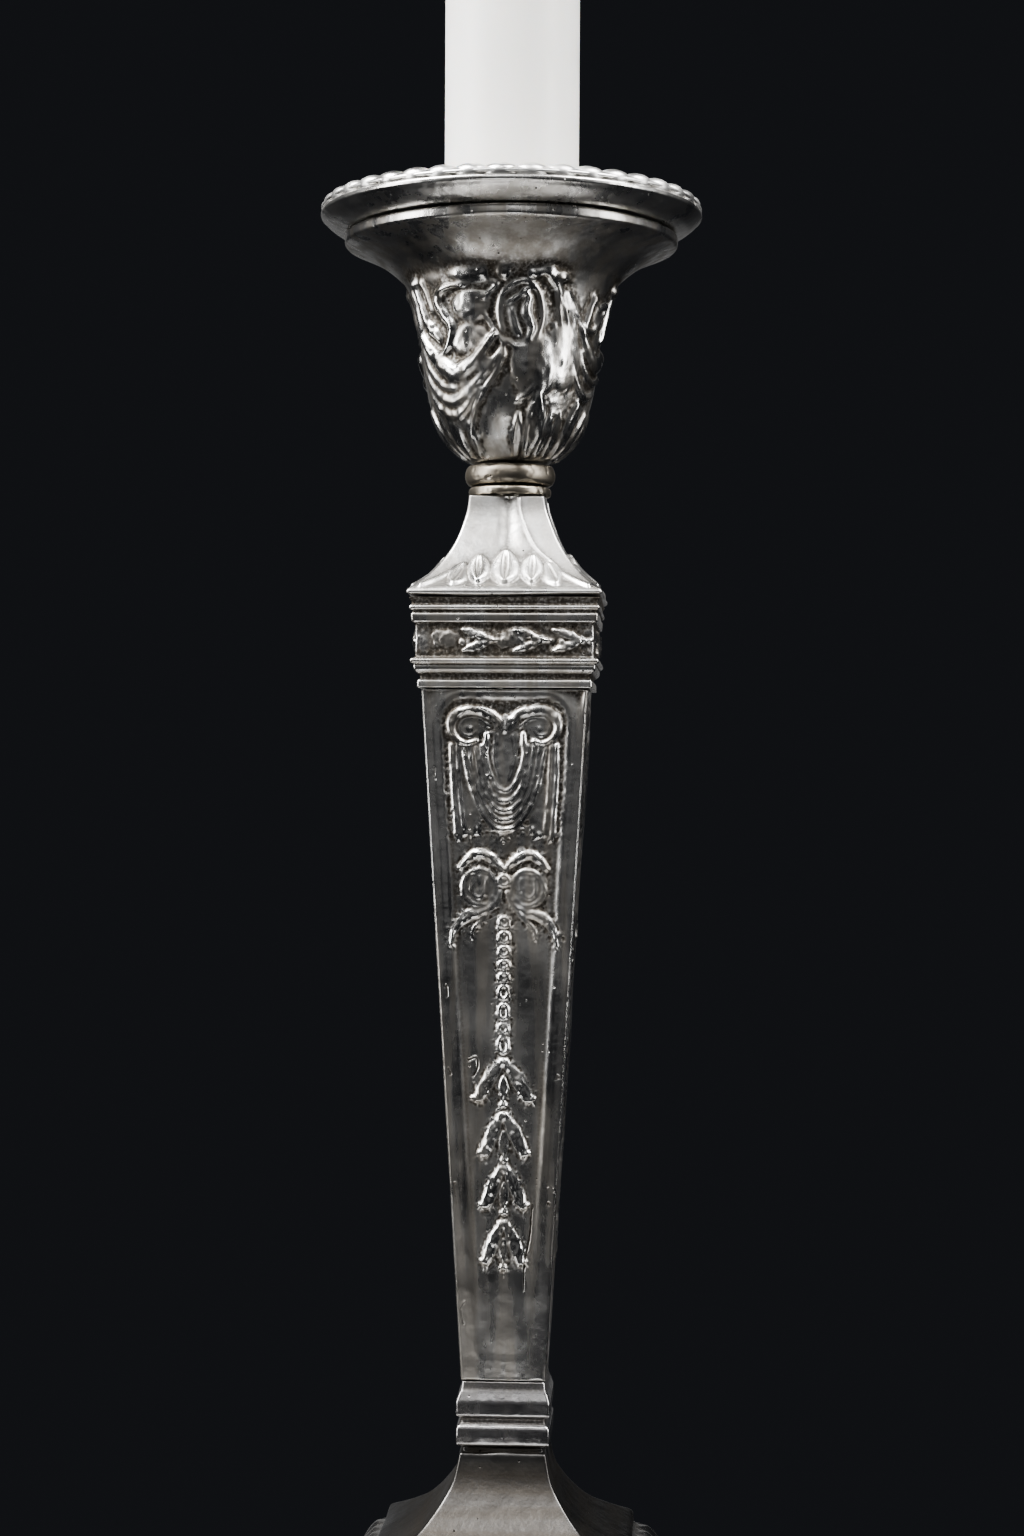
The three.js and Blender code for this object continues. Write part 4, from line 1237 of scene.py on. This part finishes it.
# %% Wax and cotton
wax, tree, shader, place = new_material(
    "candle_wax", subsurface_weight=0.35, subsurface_scale=0.006, subsurface_radius=(1.0, 0.8, 0.6))
drift = mottle(tree, place, 18)
creamy = blend_colours(tree, drift, (0.86, 0.84, 0.79, 1), (0.93, 0.92, 0.89, 1))
tree.links.new(creamy, shader.inputs["Base Color"])
tree.links.new(remap(tree, mottle(tree, place, 6), 0.3, 0.7, 0.32, 0.48), shader.inputs["Roughness"])
skin = sums(tree, "ADD", mottle(tree, place, 2.5), sums(tree, "MULTIPLY", mottle(tree, place, 0.4), 0.15))
raise_surface(tree, shader, skin, 0.35, 0.1)

cotton, tree, shader, place = new_material("wick_cotton", roughness=0.9)
fibre = mottle(tree, place, 0.15, 4, (1, 1, 0.3))
unbleached = blend_colours(tree, fibre, (0.5, 0.46, 0.38, 1), (0.82, 0.78, 0.68, 1))
tree.links.new(unbleached, shader.inputs["Base Color"])
raise_surface(tree, shader, fibre, 0.6, 0.05)

# %% Candle
half, bottom, top = extent("candle")
candle_path = outline(
    [(0.6, bottom), (half - 0.6, bottom), (half - 0.05, bottom + 0.7), (half - 0.05, top - 8)],
    smooth([(half - 0.1, top - 7), (half - 0.8, top - 4), (half - 2.6, top - 1.7), (half - 5.4, top - 0.55),
            (2.6, top - 0.1), (1.2, top - 0.05)]),
    step=0.8, ease=0.5,
)
slump = lambda degrees, z: 0.03 * np.sin(np.radians(2 * degrees) + z / 30) - 0.03
candle = turned_solid("wax_candle", candle_path, 120, slump)
stand_in(candle, wax, "candle", "wax", "candle")

# %% Wick
_, bottom, top = extent("wick")
wick_path = outline([(0.1, bottom), (0.55, bottom), (0.62, bottom + 0.3), (0.62, top - 0.3), (0.5, top),
                     (0.1, top)], step=0.15, ease=0.1)


def strands(degrees, z):
    braid = 0.1 * np.abs(np.cos(np.radians(1.5 * degrees) + z * 1.1))
    return braid * ease((z - bottom) / 0.6) * ease((top - z) / 0.4)


wick = turned_solid("cotton_wick", wick_path, 24, strands)
stand_in(wick, cotton, "candle", "wick", "wick")

# %% [markdown]
# ## What the silver hides
#
# Thin silver plate would be light and weak, so an iron weight fills the foot and a steel rod pulls the whole
# stack together between two nuts. These pieces keep the shapes of the frame, because a washer is a washer,
# and only get real materials. The rod is the exception: its two ends have a rolled thread, which is a
# turned outline whose relief follows the angle round the rod.

# %% Steel, iron and felt
def plain_finish(name, dark, light, size, roughness, bumps, metallic=0.0):
    """Two tones in soft patches, with the gloss and a fine unevenness from the same noise."""
    material, tree, shader, place = new_material(name, metallic=metallic)
    patches = mottle(tree, place, size, 5)
    fine = mottle(tree, place, size / 8, 4)
    tree.links.new(blend_colours(tree, patches, (*dark, 1), (*light, 1)), shader.inputs["Base Color"])
    dull = remap(tree, patches, 0.3, 0.7, roughness + 0.12, roughness - 0.08)
    tree.links.new(dull, shader.inputs["Roughness"])
    raise_surface(tree, shader, fine, 0.5, bumps)
    return material


steel = plain_finish("bright_steel", (0.34, 0.33, 0.31), (0.58, 0.58, 0.56), 3, 0.34, 0.04, metallic=1.0)
sheet = plain_finish("tinned_sheet", (0.38, 0.36, 0.33), (0.55, 0.53, 0.5), 9, 0.4, 0.06, metallic=1.0)
iron = plain_finish("cast_iron", (0.035, 0.03, 0.028), (0.11, 0.1, 0.095), 6, 0.7, 0.4, metallic=0.6)
felt = plain_finish("green_baize", (0.02, 0.075, 0.045), (0.045, 0.14, 0.085), 1.6, 0.88, 0.35)
felt.node_tree.nodes["Principled BSDF"].inputs["Sheen Weight"].default_value = 0.5
finishes = {
    steel: ("socket_washer", "socket_nut", "foot_washer", "foot_nut"),
    sheet: ("closing_plate", "upper_centring_plate", "lower_centring_plate"),
    iron: ("foot_weight",),
    felt: ("felt_pad",),
}
for material, names in finishes.items():
    for name in names:
        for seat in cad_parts[name].material_slots:
            seat.material = material
    print(material.name, "on", ", ".join(names))

# %% Threaded tie rod
half, bottom, top = extent("tie_rod")
PITCH, THREADED = 0.8, 22


def thread(degrees, z):
    turns = z / PITCH - degrees / 360
    cut = 0.42 * (2 * np.abs(turns % 1 - 0.5) - 1)
    return cut * ease((THREADED - np.minimum(z - bottom, top - z)) / 1.5)


rod_outline = outline([(0.3, bottom), (half - 0.6, bottom), (half - 0.01, bottom + 0.6)],
                      [(half - 0.01, top - 0.6), (half - 0.6, top), (0.3, top)], step=0.2, ease=0.1)
rod = turned_solid("threaded_rod", rod_outline, 36, thread)
stand_in(rod, steel, "stick", "steel", "tie_rod")

# %% [markdown]
# ## Floor, light and camera
#
# Polished metal has hardly any look of its own: it shows the room. So silver is lit by large soft panels
# rather than by small lamps, and what matters is where the panels are and where they end. Two strong panels
# hang high at the left and right, with a weak one between them, and a tall narrow one stands at each side. A
# wide dim one stands in front, so that the flat plates have something to mirror. Three more are only
# touches: a long weak one above that for the slopes of the foot, a very weak one low in front, under the
# level of the card, for the undersides of the mouldings, and one behind that parts the back from the dark.
# The room itself is nearly black. The candlestick stands on a small pale round of card.

# %% Floor
CARD_R = 112
card_outline = outline([(0.5, -1.5), (CARD_R, -1.5), (CARD_R, 0), (0.5, 0)], step=2, ease=0.3)
card = turned("card", card_outline, [], 160, uneven=0)
card_paper, tree, shader, place = new_material("card_paper", roughness=0.8)
pale = blend_colours(tree, mottle(tree, place, 2, 5), (0.44, 0.435, 0.43, 1), (0.5, 0.495, 0.49, 1))
tree.links.new(pale, shader.inputs["Base Color"])
card.data.materials.append(card_paper)


# %% Soft panels
def soft_panel(name, place, aim, size, watts):
    lamp = bpy.data.lights.new(name, "AREA")
    lamp.shape, lamp.size, lamp.size_y = "RECTANGLE", *size
    lamp.energy = watts
    thing = bpy.data.objects.new(name, lamp)
    thing.location = place
    thing.rotation_euler = (Vector(aim) - Vector(place)).to_track_quat("-Z", "Y").to_euler()
    thing.visible_camera = False
    bpy.context.scene.collection.objects.link(thing)


MIDDLE = (0, 0, 0.19)
soft_panel("panel_high_left", (-0.5, -0.25, 0.95), MIDDLE, (0.6, 0.5), 22)
soft_panel("panel_high_right", (0.5, -0.2, 0.95), MIDDLE, (0.45, 0.45), 13)
soft_panel("panel_high_middle", (-0.02, -0.6, 0.85), MIDDLE, (0.3, 0.2), 1.3)
soft_panel("panel_left", (-0.8, -0.3, 0.3), MIDDLE, (0.3, 0.7), 6)
soft_panel("panel_right", (0.85, -0.25, 0.3), MIDDLE, (0.22, 0.7), 4.5)
soft_panel("panel_front", (0.1, -1.5, 0.48), MIDDLE, (1.5, 1.28), 0.62)
soft_panel("panel_above", (0.02, -1.2, 0.62), (0, 0, 0.1), (0.7, 0.2), 0.6)
soft_panel("panel_below", (-0.03, -0.3, -0.15), (0, 0, 0.25), (0.2, 0.1), 0.15)
soft_panel("panel_behind", (-0.2, 1.6, 0.3), MIDDLE, (1.2, 1.2), 0.8)

NEARLY_BLACK = (0.0135, 0.0143, 0.0168, 1)
room = bpy.data.worlds.new("room")
room.use_nodes = True
room.node_tree.nodes["Background"].inputs["Color"].default_value = NEARLY_BLACK
bpy.context.scene.world = room
bpy.context.scene.view_settings.look = "AgX - Medium High Contrast"

# %% [markdown]
# The camera looks level at the column, from a little to the right of square on. It stands so close that a
# long lens isn't needed.

# %% Camera
LENS, AWAY, ASIDE, EYE = 62.1, 0.4316, 0.55 * MM, 0.1708
TURNED, ROLL = math.radians(3.2), math.radians(0.31)
camera = bpy.data.cameras.new("view")
camera.lens, camera.clip_start = LENS, 0.01
view = bpy.data.objects.new("view", camera)
round_axis = Matrix.Rotation(TURNED, 3, "Z")
view.location = round_axis @ Vector((ASIDE, -AWAY, EYE))
level_view = Matrix.Rotation(math.pi / 2, 3, "X") @ Matrix.Rotation(ROLL, 3, "Z")
view.rotation_euler = (round_axis @ level_view).to_euler()
bpy.context.scene.collection.objects.link(view)
bpy.context.scene.camera = view
